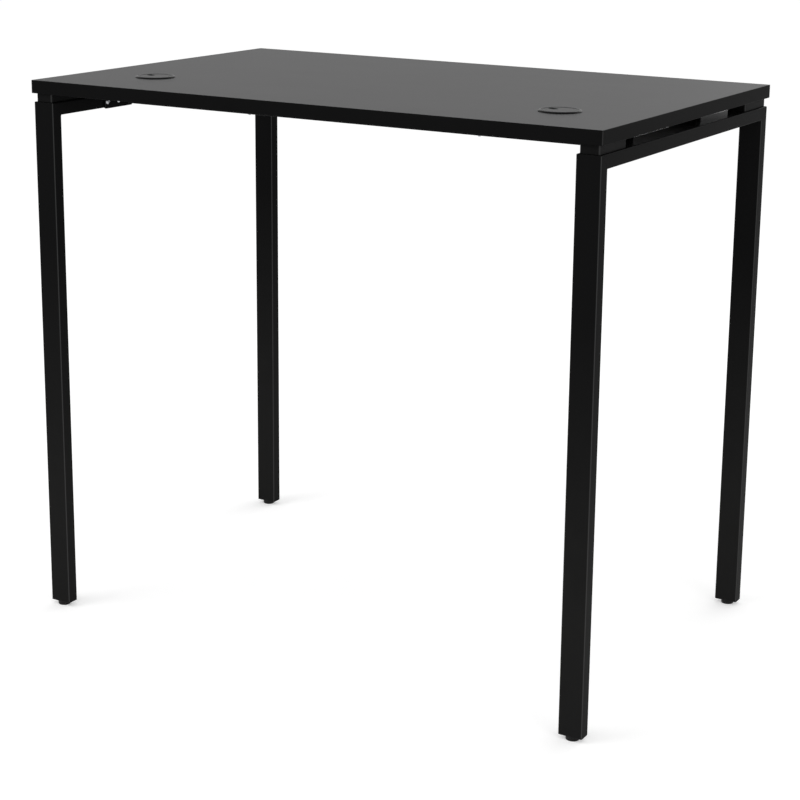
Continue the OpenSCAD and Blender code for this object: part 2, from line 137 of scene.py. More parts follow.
def add_node(
    tree: Tree, kind: str, inputs: Mapping[Union[str, int], object], **settings: object
) -> Node:
    """Adds a node, and links or sets its inputs.

    Args:
        tree: The tree to add it to.
        kind: The node's type in Blender.
        inputs: For each input, the output that feeds it or its own value.
        **settings: The node's other settings.

    Returns:
        The node.
    """
    node = tree.nodes.new(kind)
    for label, value in settings.items():
        setattr(node, label, value)
    for label, value in inputs.items():
        if isinstance(value, Socket):
            tree.links.new(value, node.inputs[label])
        else:
            node.inputs[label].default_value = value
    return node


def noise_node(
    tree: Tree, vector: Socket, scale: Amount, detail: float, rough: float = 0.5
) -> Socket:
    """Adds a noise texture.

    Args:
        tree: The tree to add it to.
        vector: The output that gives the place.
        scale: A number, or the output that gives the scale.
        detail: Octaves of detail.
        rough: How strong the fine octaves are.

    Returns:
        The noise's value output.
    """
    inputs = {"Vector": vector, "Scale": scale, "Detail": detail, "Roughness": rough}
    return add_node(tree, "ShaderNodeTexNoise", inputs).outputs[0]


def range_node(tree: Tree, value: Socket, source: tuple[Amount, Amount], target: Point) -> Socket:
    """Maps a value from one range to another, clamped.

    Args:
        tree: The tree to add it to.
        value: The output to map.
        source: The range that the value comes in.
        target: The range that it is mapped to.

    Returns:
        The mapped output.
    """
    limits = dict(zip(("From Min", "From Max", "To Min", "To Max"), (*source, *target)))
    return add_node(tree, "ShaderNodeMapRange", {"Value": value, **limits}).outputs[0]


def math_node(tree: Tree, operation: str, first: Amount, second: Amount = 0.0) -> Socket:
    """Adds a math node on outputs or numbers.

    Args:
        tree: The tree to add it to.
        operation: The operation's name in Blender.
        first: The first output or number.
        second: The second output or number.

    Returns:
        The result's output.
    """
    return add_node(tree, "ShaderNodeMath", {0: first, 1: second}, operation=operation).outputs[0]


def mix_colours(tree: Tree, factor: Socket, low: Rgb, high: Rgb) -> Socket:
    """Mixes two plain colours by a factor.

    Args:
        tree: The tree to add the node to.
        factor: The factor's output.
        low: The colour at 0.
        high: The colour at 1.

    Returns:
        The mixed colour's output.
    """
    inputs = {0: factor, 6: (*low, 1.0), 7: (*high, 1.0)}
    return add_node(tree, "ShaderNodeMix", inputs, data_type="RGBA").outputs[2]


def seen_directly(tree: Tree) -> Socket:
    """Gives 1 for rays from the camera, from gloss and through glass.

    Args:
        tree: The tree to add the nodes to.

    Returns:
        The output.
    """
    path = tree.nodes.new("ShaderNodeLightPath").outputs
    first = math_node(tree, "MAXIMUM", path["Is Camera Ray"], path["Is Glossy Ray"])
    return math_node(tree, "MAXIMUM", first, path["Is Transmission Ray"])


# Node groups, which hold the effects that several finishes share


def new_group(
    name: str, inputs: Mapping[str, float], outputs: Sequence[str]
) -> tuple[Tree, Sockets, Sockets]:
    """Starts a shader node group with a Vector input, number inputs and number outputs.

    Args:
        name: The group's name.
        inputs: Names and defaults of the number inputs.
        outputs: Names of the outputs.

    Returns:
        The group's tree, what comes into it and what it puts out.
    """
    tree = bpy.data.node_groups.new(name, "ShaderNodeTree")
    tree.interface.new_socket("Vector", in_out="INPUT", socket_type="NodeSocketVector")
    for label, value in inputs.items():
        socket = tree.interface.new_socket(label, in_out="INPUT", socket_type="NodeSocketFloat")
        socket.default_value = value
    for label in outputs:
        tree.interface.new_socket(label, in_out="OUTPUT", socket_type="NodeSocketFloat")
    return tree, tree.nodes.new("NodeGroupInput").outputs, tree.nodes.new("NodeGroupOutput").inputs


def grain_group() -> Tree:
    """Builds the fine moulded or pressed grain: a pebble height and a slow variation.

    Returns:
        The group's tree.
    """
    tree, given, result = new_group(
        "surface_grain", {"Scale": 1800.0, "Pebble": 0.6}, ["Height", "Variation"]
    )
    inputs = {"Vector": given["Vector"], "Scale": given["Scale"], "Smoothness": 0.6}
    cells = add_node(tree, "ShaderNodeTexVoronoi", inputs, feature="SMOOTH_F1")
    pebble = math_node(tree, "MULTIPLY", cells.outputs["Distance"], given["Pebble"])
    fine = noise_node(tree, given["Vector"], given["Scale"], detail=3.0)
    slow = noise_node(tree, given["Vector"], scale=9.0, detail=4.0, rough=0.55)
    tree.links.new(math_node(tree, "ADD", pebble, fine), result["Height"])
    tree.links.new(slow, result["Variation"])
    return tree


def orange_peel_group() -> Tree:
    """Builds the skin of baked powder paint: soft waves with finer ones on them.

    Returns:
        The group's tree.
    """
    tree, given, result = new_group("orange_peel", {"Scale": 420.0}, ["Height", "Variation"])
    waves = noise_node(tree, given["Vector"], given["Scale"], detail=1.0)
    finer_scale = math_node(tree, "MULTIPLY", given["Scale"], 4.5)
    finer = noise_node(tree, given["Vector"], finer_scale, detail=2.0)
    height = math_node(tree, "ADD", waves, math_node(tree, "MULTIPLY", finer, 0.25))
    slow = noise_node(tree, given["Vector"], scale=14.0, detail=3.0)
    tree.links.new(height, result["Height"])
    tree.links.new(slow, result["Variation"])
    return tree


def handling_group() -> Tree:
    """Builds the marks of handling: faint smears and sparse dust specks.

    Returns:
        The group's tree.
    """
    tree, given, result = new_group(
        "handling_marks", {"Smear Scale": 6.0, "Speck Scale": 260.0}, ["Smear", "Speck"]
    )
    inputs = {"Vector": given["Vector"], "Scale": (1.0, 2.4, 1.0)}
    stretch = add_node(tree, "ShaderNodeMapping", inputs)
    smear = noise_node(tree, stretch.outputs[0], given["Smear Scale"], detail=6.0, rough=0.62)
    speck = noise_node(tree, given["Vector"], given["Speck Scale"], detail=1.0)
    tree.links.new(range_node(tree, smear, (0.42, 0.7), (0.0, 1.0)), result["Smear"])
    tree.links.new(range_node(tree, speck, (0.74, 0.8), (0.0, 1.0)), result["Speck"])
    return tree


def corner_group() -> Tree:
    """Builds the mask of upright round corners, where the normal fed to it lies between X and Y,
    for a painted highlight there.

    Returns:
        The group's tree.
    """
    tree, given, result = new_group("upright_corners", {"Start": 0.02, "End": 0.16}, ["Mask"])
    parts = add_node(tree, "ShaderNodeSeparateXYZ", {0: given["Vector"]})
    x, y, z = [math_node(tree, "ABSOLUTE", output) for output in parts.outputs]
    largest = math_node(tree, "MAXIMUM", math_node(tree, "MAXIMUM", x, y), z)
    slope = math_node(tree, "SUBTRACT", 1.0, largest)
    corner = range_node(tree, slope, (given["Start"], given["End"]), (0.0, 1.0))
    upright = range_node(tree, z, (0.1, 0.3), (1.0, 0.0))
    tree.links.new(math_node(tree, "MULTIPLY", corner, upright), result["Mask"])
    return tree


def dust_group() -> Tree:
    """Builds the mask of painted light that grows towards the floor, in soft patches.

    Returns:
        The group's tree.
    """
    tree, given, result = new_group("settled_dust", {"Top": 0.75, "Bottom": 0.25}, ["Film"])
    parts = add_node(tree, "ShaderNodeSeparateXYZ", {0: given["Vector"]})
    height = range_node(tree, parts.outputs["Z"], (given["Top"], given["Bottom"]), (0.0, 1.0))
    noise = noise_node(tree, given["Vector"], scale=22.0, detail=4.0)
    patches = range_node(tree, noise, (0.2, 0.8), (0.85, 1.15))
    tree.links.new(math_node(tree, "MULTIPLY", height, patches), result["Film"])
    return tree


def chip_group() -> Tree:
    """Builds pressed wood chips: flakes of several tones with dark gaps.

    Returns:
        The group's tree.
    """
    tree, given, result = new_group("wood_chips", {"Scale": 380.0}, ["Tone", "Height"])
    inputs = {"Vector": given["Vector"], "Scale": (1.0, 1.0, 3.0)}
    squash = add_node(tree, "ShaderNodeMapping", inputs)
    inputs = {"Vector": squash.outputs[0], "Scale": given["Scale"]}
    flakes = add_node(tree, "ShaderNodeTexVoronoi", inputs)
    tone = add_node(tree, "ShaderNodeSeparateColor", {0: flakes.outputs["Color"]})
    tree.links.new(tone.outputs[0], result["Tone"])
    tree.links.new(flakes.outputs["Distance"], result["Height"])
    return tree


@cache
def shared_group(maker: Callable[[], Tree]) -> Tree:
    """Gives the group that a function builds, built once for all materials."""
    return maker()


def coordinates(material: Material, output: str = "Object") -> Socket:
    """Gives an output of the material's coordinates node, which is added the first time.

    Args:
        material: The material.
        output: The output's name.

    Returns:
        The output.
    """
    nodes = material.node_tree.nodes
    node = nodes.get("object place") or nodes.new("ShaderNodeTexCoord")
    node.name = "object place"
    return node.outputs[output]


def place_group(
    material: Material,
    maker: Callable[[], Tree],
    values: Mapping[str, float],
    on_normal: bool = False,
) -> Sockets:
    """Places a shared group in a material.

    Args:
        material: The material.
        maker: The function that builds the group.
        values: The group's number inputs.
        on_normal: Whether its vector is the surface's normal, instead of Object coordinates.

    Returns:
        The group's outputs.
    """
    vector = coordinates(material, "Normal" if on_normal else "Object")
    inputs = {**values, "Vector": vector}
    group = shared_group(maker)
    return add_node(material.node_tree, "ShaderNodeGroup", inputs, node_tree=group).outputs


# Finishes


def start_material(
    name: str, base: Rgb, roughness: float, metallic: float, specular: float
) -> tuple[Material, Node]:
    """Starts a material with its Principled shader.

    Args:
        name: The material's name.
        base: The base colour.
        roughness: The roughness.
        metallic: The metallic share.
        specular: The specular level.

    Returns:
        The material and its Principled node.
    """
    material = bpy.data.materials.new(name)
    material.use_nodes = True
    shader = material.node_tree.nodes["Principled BSDF"]
    shader.inputs["Base Color"].default_value = (*base, 1.0)
    shader.inputs["Roughness"].default_value = roughness
    shader.inputs["Metallic"].default_value = metallic
    shader.inputs["Specular IOR Level"].default_value = specular
    return material, shader


def add_bump(material: Material, shader: Node, height: Socket, distance: float) -> None:
    """Feeds a height into the shader's normal.

    Args:
        material: The material.
        shader: Its Principled node.
        height: The height output.
        distance: The relief in metres.
    """
    tree = material.node_tree
    bump = add_node(tree, "ShaderNodeBump", {"Distance": distance, "Height": height})
    tree.links.new(bump.outputs[0], shader.inputs["Normal"])


def shine_corners(material: Material, shader: Node, gloss: float, roughness: float) -> None:
    """Paints a highlight on the round upright corners: a coat gloss that the flat faces lack.

    Args:
        material: The material.
        shader: Its Principled node.
        gloss: The weight of the coat that paints the highlight on the corners.
        roughness: The gloss's roughness.
    """
    mask = place_group(material, corner_group, {}, on_normal=True)["Mask"]
    shader.inputs["Coat Roughness"].default_value = roughness
    weight = math_node(material.node_tree, "MULTIPLY", mask, gloss)
    material.node_tree.links.new(weight, shader.inputs["Coat Weight"])


def scaled(colour: Rgb, factor: float) -> Rgb:
    """Gives a colour made darker or lighter by a factor."""
    return tuple(min(1.0, channel * factor) for channel in colour)


@dataclass(frozen=True)
class Finish:
    """What every finish has: a name, and a way to build its material."""

    name: str

    def build(self) -> Material:
        """Builds the material."""
        raise NotImplementedError(self.name)


@dataclass(frozen=True)
class MouldedFinish(Finish):
    """Plastic or laminate with a fine grain, a little handling and dust."""

    base: Rgb
    roughness: float
    specular: float
    grain_scale: float = 1800.0
    grain_depth: float = 0.00003
    pebble: float = 0.6
    spread: float = 0.015
    tone: float = 0.5
    dust: float = 0.15
    darkest: float = 0.8
    lightest: float = 1.3
    # Weight of the painted highlight on the round upright corners.
    corner_shine: float = 0.0

    def build(self) -> Material:
        """Builds the material.

        Returns:
            The material.
        """
        material, shader = start_material(
            self.name, self.base, self.roughness, metallic=0.0, specular=self.specular
        )
        tree = material.node_tree
        values = {"Scale": self.grain_scale, "Pebble": self.pebble}
        grain = place_group(material, grain_group, values)
        marks = place_group(material, handling_group, {})
        limits = (self.roughness - self.spread, self.roughness + self.spread)
        rough = range_node(tree, grain["Variation"], NOISE_BAND, limits)
        smeared = math_node(tree, "MULTIPLY", marks["Smear"], -self.spread)
        tree.links.new(math_node(tree, "ADD", rough, smeared), shader.inputs["Roughness"])
        tone = math_node(tree, "MULTIPLY", grain["Variation"], self.tone)
        specks = math_node(tree, "MULTIPLY", marks["Speck"], self.dust)
        dark, light = scaled(self.base, self.darkest), scaled(self.base, self.lightest)
        colour = mix_colours(tree, math_node(tree, "ADD", tone, specks), dark, light)
        tree.links.new(colour, shader.inputs["Base Color"])
        add_bump(material, shader, grain["Height"], self.grain_depth)
        # Painted highlight: a coat gloss on the round upright corners.
        if self.corner_shine > 0:
            shine_corners(material, shader, self.corner_shine, self.roughness)
        return material


@dataclass(frozen=True)
class PowderFinish(Finish):
    """Baked powder paint on steel, with painted light that makes it lighter towards the floor."""

    base: Rgb
    roughness: float
    specular: float
    # Weight of the painted highlight on the round upright corners.
    corner_shine: float
    # The colour that the painted light from the floor gives at the bottom.
    dusty: Rgb
    peel_scale: float = 420.0
    peel_depth: float = 0.00001
    smear_scale: float = 11.0
    smear: float = 0.02
    smoother: float = 0.02
    rougher: float = 0.03

    def build(self) -> Material:
        """Builds the material.

        Returns:
            The material.
        """
        material, shader = start_material(
            self.name, self.base, self.roughness, metallic=0.0, specular=self.specular
        )
        tree = material.node_tree
        peel = place_group(material, orange_peel_group, {"Scale": self.peel_scale})
        marks = place_group(material, handling_group, {"Smear Scale": self.smear_scale})
        floor_light = place_group(material, dust_group, {})["Film"]
        limits = (self.roughness - self.smoother, self.roughness + self.rougher)
        rough = range_node(tree, peel["Variation"], NOISE_BAND, limits)
        smeared = math_node(tree, "MULTIPLY", marks["Smear"], self.smear)
        tree.links.new(math_node(tree, "ADD", rough, smeared), shader.inputs["Roughness"])
        # Painted light: the colour grows lighter towards the floor.
        tree.links.new(mix_colours(tree, floor_light, self.base, self.dusty), shader.inputs["Base Color"])
        # Painted highlight: a coat gloss on the round upright corners.
        shine_corners(material, shader, self.corner_shine, self.roughness)
        add_bump(material, shader, peel["Height"], self.peel_depth)
        return material


@dataclass(frozen=True)
class ZincFinish(Finish):
    """Bright zinc plating with soft cloudiness and a fine trace of rolling."""

    base: Rgb
    roughness: float
    specular: float = 0.5
    cloud_scale: float = 300.0
    trace_scale: float = 2600.0
    trace_depth: float = 0.00001
    smoother: float = 0.08
    rougher: float = 0.1
    darkest: float = 0.8
    lightest: float = 1.1

    def build(self) -> Material:
        """Builds the material.

        Returns:
            The material.
        """
        material, shader = start_material(
            self.name, self.base, self.roughness, metallic=1.0, specular=self.specular
        )
        tree = material.node_tree
        cloud = noise_node(tree, coordinates(material), self.cloud_scale, detail=4.0, rough=0.6)
        trace = noise_node(tree, coordinates(material), self.trace_scale, detail=2.0)
        limits = (self.roughness - self.smoother, self.roughness + self.rougher)
        tree.links.new(range_node(tree, cloud, NOISE_BAND, limits), shader.inputs["Roughness"])
        dark, light = scaled(self.base, self.darkest), scaled(self.base, self.lightest)
        tree.links.new(mix_colours(tree, cloud, dark, light), shader.inputs["Base Color"])
        add_bump(material, shader, trace, self.trace_depth)
        return material


@dataclass(frozen=True)
class ChipFinish(Finish):
    """Raw particleboard."""

    light: Rgb
    dark: Rgb
    roughness: float = 0.85
    specular: float = 0.3
    chip_depth: float = 0.0002

    def build(self) -> Material:
        """Builds the material.

        Returns:
            The material.
        """
        material, shader = start_material(
            self.name, self.light, self.roughness, metallic=0.0, specular=self.specular
        )
        tree = material.node_tree
        chips = place_group(material, chip_group, {})
        colour = mix_colours(tree, chips["Tone"], self.dark, self.light)
        tree.links.new(colour, shader.inputs["Base Color"])
        add_bump(material, shader, chips["Height"], self.chip_depth)
        return material


LAMINATE = MouldedFinish(
    name="black_laminate", base=(0.018, 0.018, 0.0184), roughness=0.48, specular=0.17,
    grain_scale=1500.0, grain_depth=0.00001, pebble=0.8, spread=0.004,
)
BACKER = MouldedFinish(
    name="backer_laminate", base=(0.012, 0.012, 0.0122), roughness=0.5, specular=0.12,
    grain_scale=1100.0, grain_depth=0.00002, pebble=0.5,
)
EDGE_BAND = MouldedFinish(
    name="edge_band_plastic", base=(0.0068, 0.0068, 0.0069), roughness=0.30, specular=0.006,
    grain_scale=900.0, grain_depth=0.00001, pebble=0.3, corner_shine=0.5,
)
POWDER = PowderFinish(
    name="black_powder_paint", base=(0.0066, 0.0066, 0.0067), roughness=0.20, specular=0.006,
    corner_shine=0.7, dusty=(0.0145, 0.0144, 0.0142),
)
SPACER_PLASTIC = MouldedFinish(
    name="spacer_plastic", base=(0.0075, 0.0075, 0.0076), roughness=0.5, specular=0.02,
    grain_scale=2200.0, grain_depth=0.00002, corner_shine=0.6,
)
PLUG_PLASTIC = MouldedFinish(
    name="plug_plastic", base=(0.009, 0.009, 0.009), roughness=0.5, specular=0.12,
    grain_scale=2200.0, grain_depth=0.00001,
)
FOOT_NYLON = MouldedFinish(
    name="foot_nylon", base=(0.008, 0.008, 0.008), roughness=0.36, specular=0.16,
    grain_scale=1600.0, grain_depth=0.00001, pebble=0.4,
)
RING_PLASTIC = MouldedFinish(
    name="grommet_ring_plastic", base=(0.006, 0.006, 0.0061), roughness=0.26, specular=0.04,
    grain_scale=2400.0, grain_depth=0.00001,
)
CAP_PLASTIC = MouldedFinish(
    name="grommet_cap_plastic", base=(0.016, 0.016, 0.0162), roughness=0.46, specular=0.15,
    grain_scale=2400.0, grain_depth=0.00001,
)
ZINC = ZincFinish(name="bright_zinc", base=(0.42, 0.425, 0.44), roughness=0.3)
BOARD = ChipFinish(name="particleboard", light=(0.60, 0.46, 0.30), dark=(0.30, 0.21, 0.12))


@cache
def paint(finish: Finish) -> Material:
    """Gives the material of a finish, built once for all pieces."""
    return finish.build()


# Shapes, in millimetres


def edges_along(bm: BMesh, axis: Axis) -> list[BMEdge]:
    """Gives the edges that run along an axis.

    Args:
        bm: The mesh.
        axis: The axis.

    Returns:
        The edges.
    """
    found = []
    for edge in bm.edges:
        span = edge.verts[1].co - edge.verts[0].co
        if span.length > 0 and abs(span.normalized().dot(axis.vector)) > PARALLEL:
            found.append(edge)
    return found


def end_loops(bm: BMesh, axis: Axis) -> list[BMEdge]:
    """Gives the edges round a bar's two ends.

    Args:
        bm: The bar.
        axis: The axis that it runs along.

    Returns:
        The edges.
    """
    places = [vert.co[axis.value] for vert in bm.verts]
    ends = (min(places), max(places))
    return [
        edge
        for edge in bm.edges
        if any(all(abs(vert.co[axis.value] - end) < CLOSE for vert in edge.verts) for end in ends)
    ]


def bevel(bm: BMesh, edges: Iterable[BMEdge], offset: float, segments: int) -> None:
    """Rounds edges.

    Args:
        bm: The mesh.
        edges: The edges to round.
        offset: The radius.
        segments: Faces across the round.
    """
    bmesh.ops.bevel(
        bm,
        geom=list(edges),
        offset=offset,
        offset_type="OFFSET",
        affect="EDGES",
        segments=segments,
        profile=0.5,
        material=-1,
        clamp_overlap=True,
    )


def block(size: Place, centre: Place) -> BMesh:
    """Gives a plain block to be shaped further.

    Args:
        size: Its size.
        centre: Its middle.

    Returns:
        The mesh.
    """
    bm = bmesh.new()
    bmesh.ops.create_cube(bm, size=1.0)
    bmesh.ops.scale(bm, vec=Vector(size), verts=bm.verts)
    bmesh.ops.translate(bm, vec=Vector(centre), verts=bm.verts)
    return bm


def bar(
    size: Place, centre: Place, axis: Axis, radius: float, rim: float = 0.0, rim_faces: int = 3
) -> BMesh:
    """Gives a bar with round long corners.

    Args:
        size: Its size.
        centre: Its middle.
        axis: The axis that it runs along.
        radius: The radius of its long corners.
        rim: The radius round its two ends, or 0 for sharp ends.
        rim_faces: Faces across that round.

    Returns:
        The mesh.
    """
    bm = block(size, centre)
    bevel(bm, edges_along(bm, axis), radius, CORNER_FACES)
    if rim > 0:
        bevel(bm, end_loops(bm, axis), rim, rim_faces)
    return bm


def cut(bm: BMesh, point: Place, normal: Place, rim: float = 0.0) -> None:
    """Cuts away what lies beyond a plane, and closes the cut.

    Args:
        bm: The mesh.
        point: A point on the plane.
        normal: The direction of what is cut away.
        rim: The bevel round the cut, or 0 for none.
    """
    result = bmesh.ops.bisect_plane(
        bm,
        geom=bm.verts[:] + bm.edges[:] + bm.faces[:],
        dist=TINY,
        plane_co=Vector(point),
        plane_no=Vector(normal),
        clear_outer=True,
    )
    rims = [element for element in result["geom_cut"] if isinstance(element, BMEdge)]
    bmesh.ops.holes_fill(bm, edges=rims, sides=0)
    if rim > 0:
        bevel(bm, [edge for edge in rims if edge.is_valid], rim, RIM_FACES)


def wire(bm: BMesh, points: Sequence[Point], closed: bool) -> list:
    """Adds a line through points, to be turned round the Z axis.

    Args:
        bm: The mesh.
        points: Radius and height of each point.
        closed: Whether the line closes on itself.

    Returns:
        The line's points and edges.
    """
    verts = [bm.verts.new((radius, 0.0, height)) for radius, height in points]
    following = verts[1:] + verts[:1] if closed else verts[1:]
    return verts + [bm.edges.new(pair) for pair in zip(verts, following)]


def sweep(
    bm: BMesh, geometry: list, angle: float, steps: int, rise: float = 0.0, full: bool = False
) -> None:
    """Turns geometry round the Z axis, and keeps what it sweeps.

    Args:
        bm: The mesh.
        geometry: What is turned.
        angle: How far it is turned, in radians.
        steps: Faces along the turn.
        rise: How far it climbs with each step.
        full: Whether the end is merged with the start.
    """
    bmesh.ops.spin(
        bm,
        geom=geometry,
        cent=(0, 0, 0),
        axis=(0, 0, 1),
        dvec=(0, 0, rise),
        angle=angle,
        steps=steps,
        use_merge=full,
        use_duplicate=False,
    )


def tidy(bm: BMesh) -> None:
    """Merges doubles and turns all faces outwards.

    Args:
        bm: The mesh.
    """
    bmesh.ops.remove_doubles(bm, verts=bm.verts, dist=CLOSE)
    bmesh.ops.dissolve_degenerate(bm, edges=bm.edges, dist=TINY)
    bmesh.ops.recalc_face_normals(bm, faces=bm.faces)


def lathe(profile: Sequence[Point], steps: int = 96, closed: bool = True) -> BMesh:
    """Turns a profile round the Z axis.

    Args:
        profile: Radius and height of each point.
        steps: Faces round the axis.
        closed: Whether the profile closes on itself.

    Returns:
        The mesh.
    """
    bm = bmesh.new()
    sweep(bm, wire(bm, profile, closed), 2 * math.pi, steps, full=True)
    tidy(bm)
    return bm


def arc(centre: Point, radius: float, start: float, end: float, steps: int) -> list[Point]:
    """Gives points on an arc, for a profile.

    Args:
        centre: The arc's centre.
        radius: Its radius.
        start: The first angle, in degrees.
        end: The last angle, in degrees.
        steps: Faces along the arc.

    Returns:
        The points.
    """
    angles = [math.radians(start + (end - start) * i / steps) for i in range(steps + 1)]
    return [(centre[0] + radius * math.cos(a), centre[1] + radius * math.sin(a)) for a in angles]


def moved(bm: BMesh, place: Place, turn: Optional[Matrix] = None) -> BMesh:
    """Turns a mesh about the origin and then moves it.

    Args:
        bm: The mesh.
        place: Where the origin goes.
        turn: The turn, or None.

    Returns:
        The same mesh.
    """
    if turn is not None:
        bmesh.ops.transform(bm, matrix=turn.to_4x4(), verts=bm.verts)
    bmesh.ops.translate(bm, vec=Vector(place), verts=bm.verts)
    return bm


def joined(parts: Sequence[BMesh]) -> BMesh:
    """Puts several meshes in one, and frees them.

    Args:
        parts: The meshes.

    Returns:
        One mesh with all of them.
    """
    whole = bmesh.new()
    for part in parts:
        carrier = bpy.data.meshes.new("carrier")
        part.to_mesh(carrier)
        whole.from_mesh(carrier)
        bpy.data.meshes.remove(carrier)
        part.free()
    return whole


def circle_outline(radius: float) -> Outline:
    """Gives the outline of a circle round the origin."""
    return lambda angle: (radius * math.cos(angle), radius * math.sin(angle))


def hexagon_outline(across_flats: float) -> Outline:
    """Gives the outline of a hexagon.

    Args:
        across_flats: Its width from side to side.

    Returns:
        The outline.
    """

    def outline(angle: float) -> Point:
        """Gives the hexagon's point in a direction.

        Args:
            angle: The direction, in radians.

        Returns:
            The point.
        """
        sector = math.pi / 3
        radius = across_flats / 2 / math.cos(angle % sector - sector / 2)
        return radius * math.cos(angle), radius * math.sin(angle)

    return outline


def slot_outline(length: float, width: float, middle: float, turn: float) -> Outline:
    """Gives the outline of a slot with round ends, off centre along its own direction.

    Args:
        length: Its length, end to end.
        width: Its width.
        middle: The distance from the origin to its middle.
        turn: The direction that it points in, in radians.

    Returns:
        The outline.
    """
    straight = (length - width) / 2
    radius = width / 2

    def outline(angle: float) -> Point:
        """Gives the slot's point in a direction from its middle.

        Args:
            angle: The direction, in radians.

        Returns:
            The point.
        """
        c, s = math.cos(angle - turn), math.sin(angle - turn)
        if abs(s) > 1e-9 and abs(radius * c / s) <= straight:
            reach = radius / abs(s)
        else:
            centre = math.copysign(straight, c)
            reach = centre * c + math.sqrt(max(0.0, radius**2 - (centre * s) ** 2))
        x = middle * math.cos(turn) + reach * math.cos(angle)
        y = middle * math.sin(turn) + reach * math.sin(angle)
        return x, y

    return outline


def skin(loops: Sequence[tuple[Outline, float]], count: int, closed: bool = True) -> BMesh:
    """Makes a skin through outlines: a circle of edges is extruded to each of them in turn.

    Every point keeps its own direction on all of them, so that the skin doesn't twist.

    Args:
        loops: For each loop, its outline and its height.
        count: Points round each loop.
        closed: Whether the skin ends at the loop that it starts from.

    Returns:
        The mesh.
    """
    bm = bmesh.new()
    direction = bm.verts.layers.float.new("direction")
    bmesh.ops.create_circle(bm, segments=count, radius=1.0)
    rim, edges = bm.verts[:], bm.edges[:]
    for vert in rim:
        vert[direction] = math.atan2(vert.co.y, vert.co.x)
    for step, (outline, height) in enumerate([*loops, loops[0]] if closed else loops):
        if step > 0:
            made = bmesh.ops.extrude_edge_only(bm, edges=edges)["geom"]
            rim = [element for element in made if isinstance(element, BMVert)]
            edges = [element for element in made if isinstance(element, BMEdge)]
        for vert in rim:
            vert.co = (*outline(vert[direction]), height)
    bm.verts.layers.float.remove(direction)
    bmesh.ops.remove_doubles(bm, verts=bm.verts, dist=CLOSE)
    bmesh.ops.recalc_face_normals(bm, faces=bm.faces)
    return bm


def weld_bead(
    radius: float, length: float, pitch: float, faces: int, swell: Callable[[float], float]
) -> BMesh:
    """Gives a rippled weld bead that runs along Z, with its middle at the origin.

    Args:
        radius: Its radius.
        length: Its length.
        pitch: The distance from one ripple to the next.
        faces: Faces round it.
        swell: Gives the share of the radius that it has at a height.

    Returns:
        The mesh.
    """
    bm = bmesh.new()
    bmesh.ops.create_cone(
        bm,
        cap_ends=True,
        cap_tris=False,
        segments=faces,
        radius1=radius,
        radius2=radius,
        depth=length,
    )
    cuts = 4 * round(length / pitch) - 1
    bmesh.ops.subdivide_edges(bm, edges=edges_along(bm, Axis.Z), cuts=cuts)
    for vert in bm.verts:
        share = swell(vert.co.z)
        vert.co.x *= share
        vert.co.y *= share
    return bm


@dataclass
class Placer:
    """Turns finished meshes into pieces that ride on their bodies."""

    placed: int = 0
    triangles: int = 0

    def place(
        self,
        name: str,
        bm: BMesh,
        finish: Finish,
        body: str,
        slot: str,
        replaces: Sequence[str] = (),
    ) -> None:
        """Places one piece.

        Args:
            name: The piece's name.
            bm: Its mesh in millimetres, which is freed.
            finish: Its finish.
            body: The body that it rides on.
            slot: The record's material slot; not used.
            replaces: The nodes that it stands for.
        """
        bmesh.ops.scale(bm, vec=Vector((MM, MM, MM)), verts=bm.verts)
        mesh = bpy.data.meshes.new(name)
        bm.to_mesh(mesh)
        bm.free()
        mesh.polygons.foreach_set("use_smooth", [True] * len(mesh.polygons))
        mesh.set_sharp_from_angle(angle=SHARP_ANGLE)
        mesh.materials.append(paint(finish))
        piece = bpy.data.objects.new(name, mesh)
        bpy.context.scene.collection.objects.link(piece)
        shade = piece.modifiers.new("flat faces first", "WEIGHTED_NORMAL")
        shade.keep_sharp = True
        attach(piece, body)
        if replaces:
            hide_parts(*replaces)
        count = sum(len(polygon.vertices) - 2 for polygon in mesh.polygons)
        self.placed += 1
        self.triangles += count
        LOG.info("%s: %d triangles on %s", name, count, body)


def repaint(frame: dict, node: str, finish: Finish) -> None:
    """Gives a node that stays its finish.

    Args:
        frame: The loaded frame.
        node: The node's name.
        finish: The finish.
    """
    mesh = frame["nodes"][node].data
    mesh.materials.clear()
    mesh.materials.append(paint(finish))
    LOG.info("%s: kept, with %s", node, finish.name)


# The desk's sub-assemblies


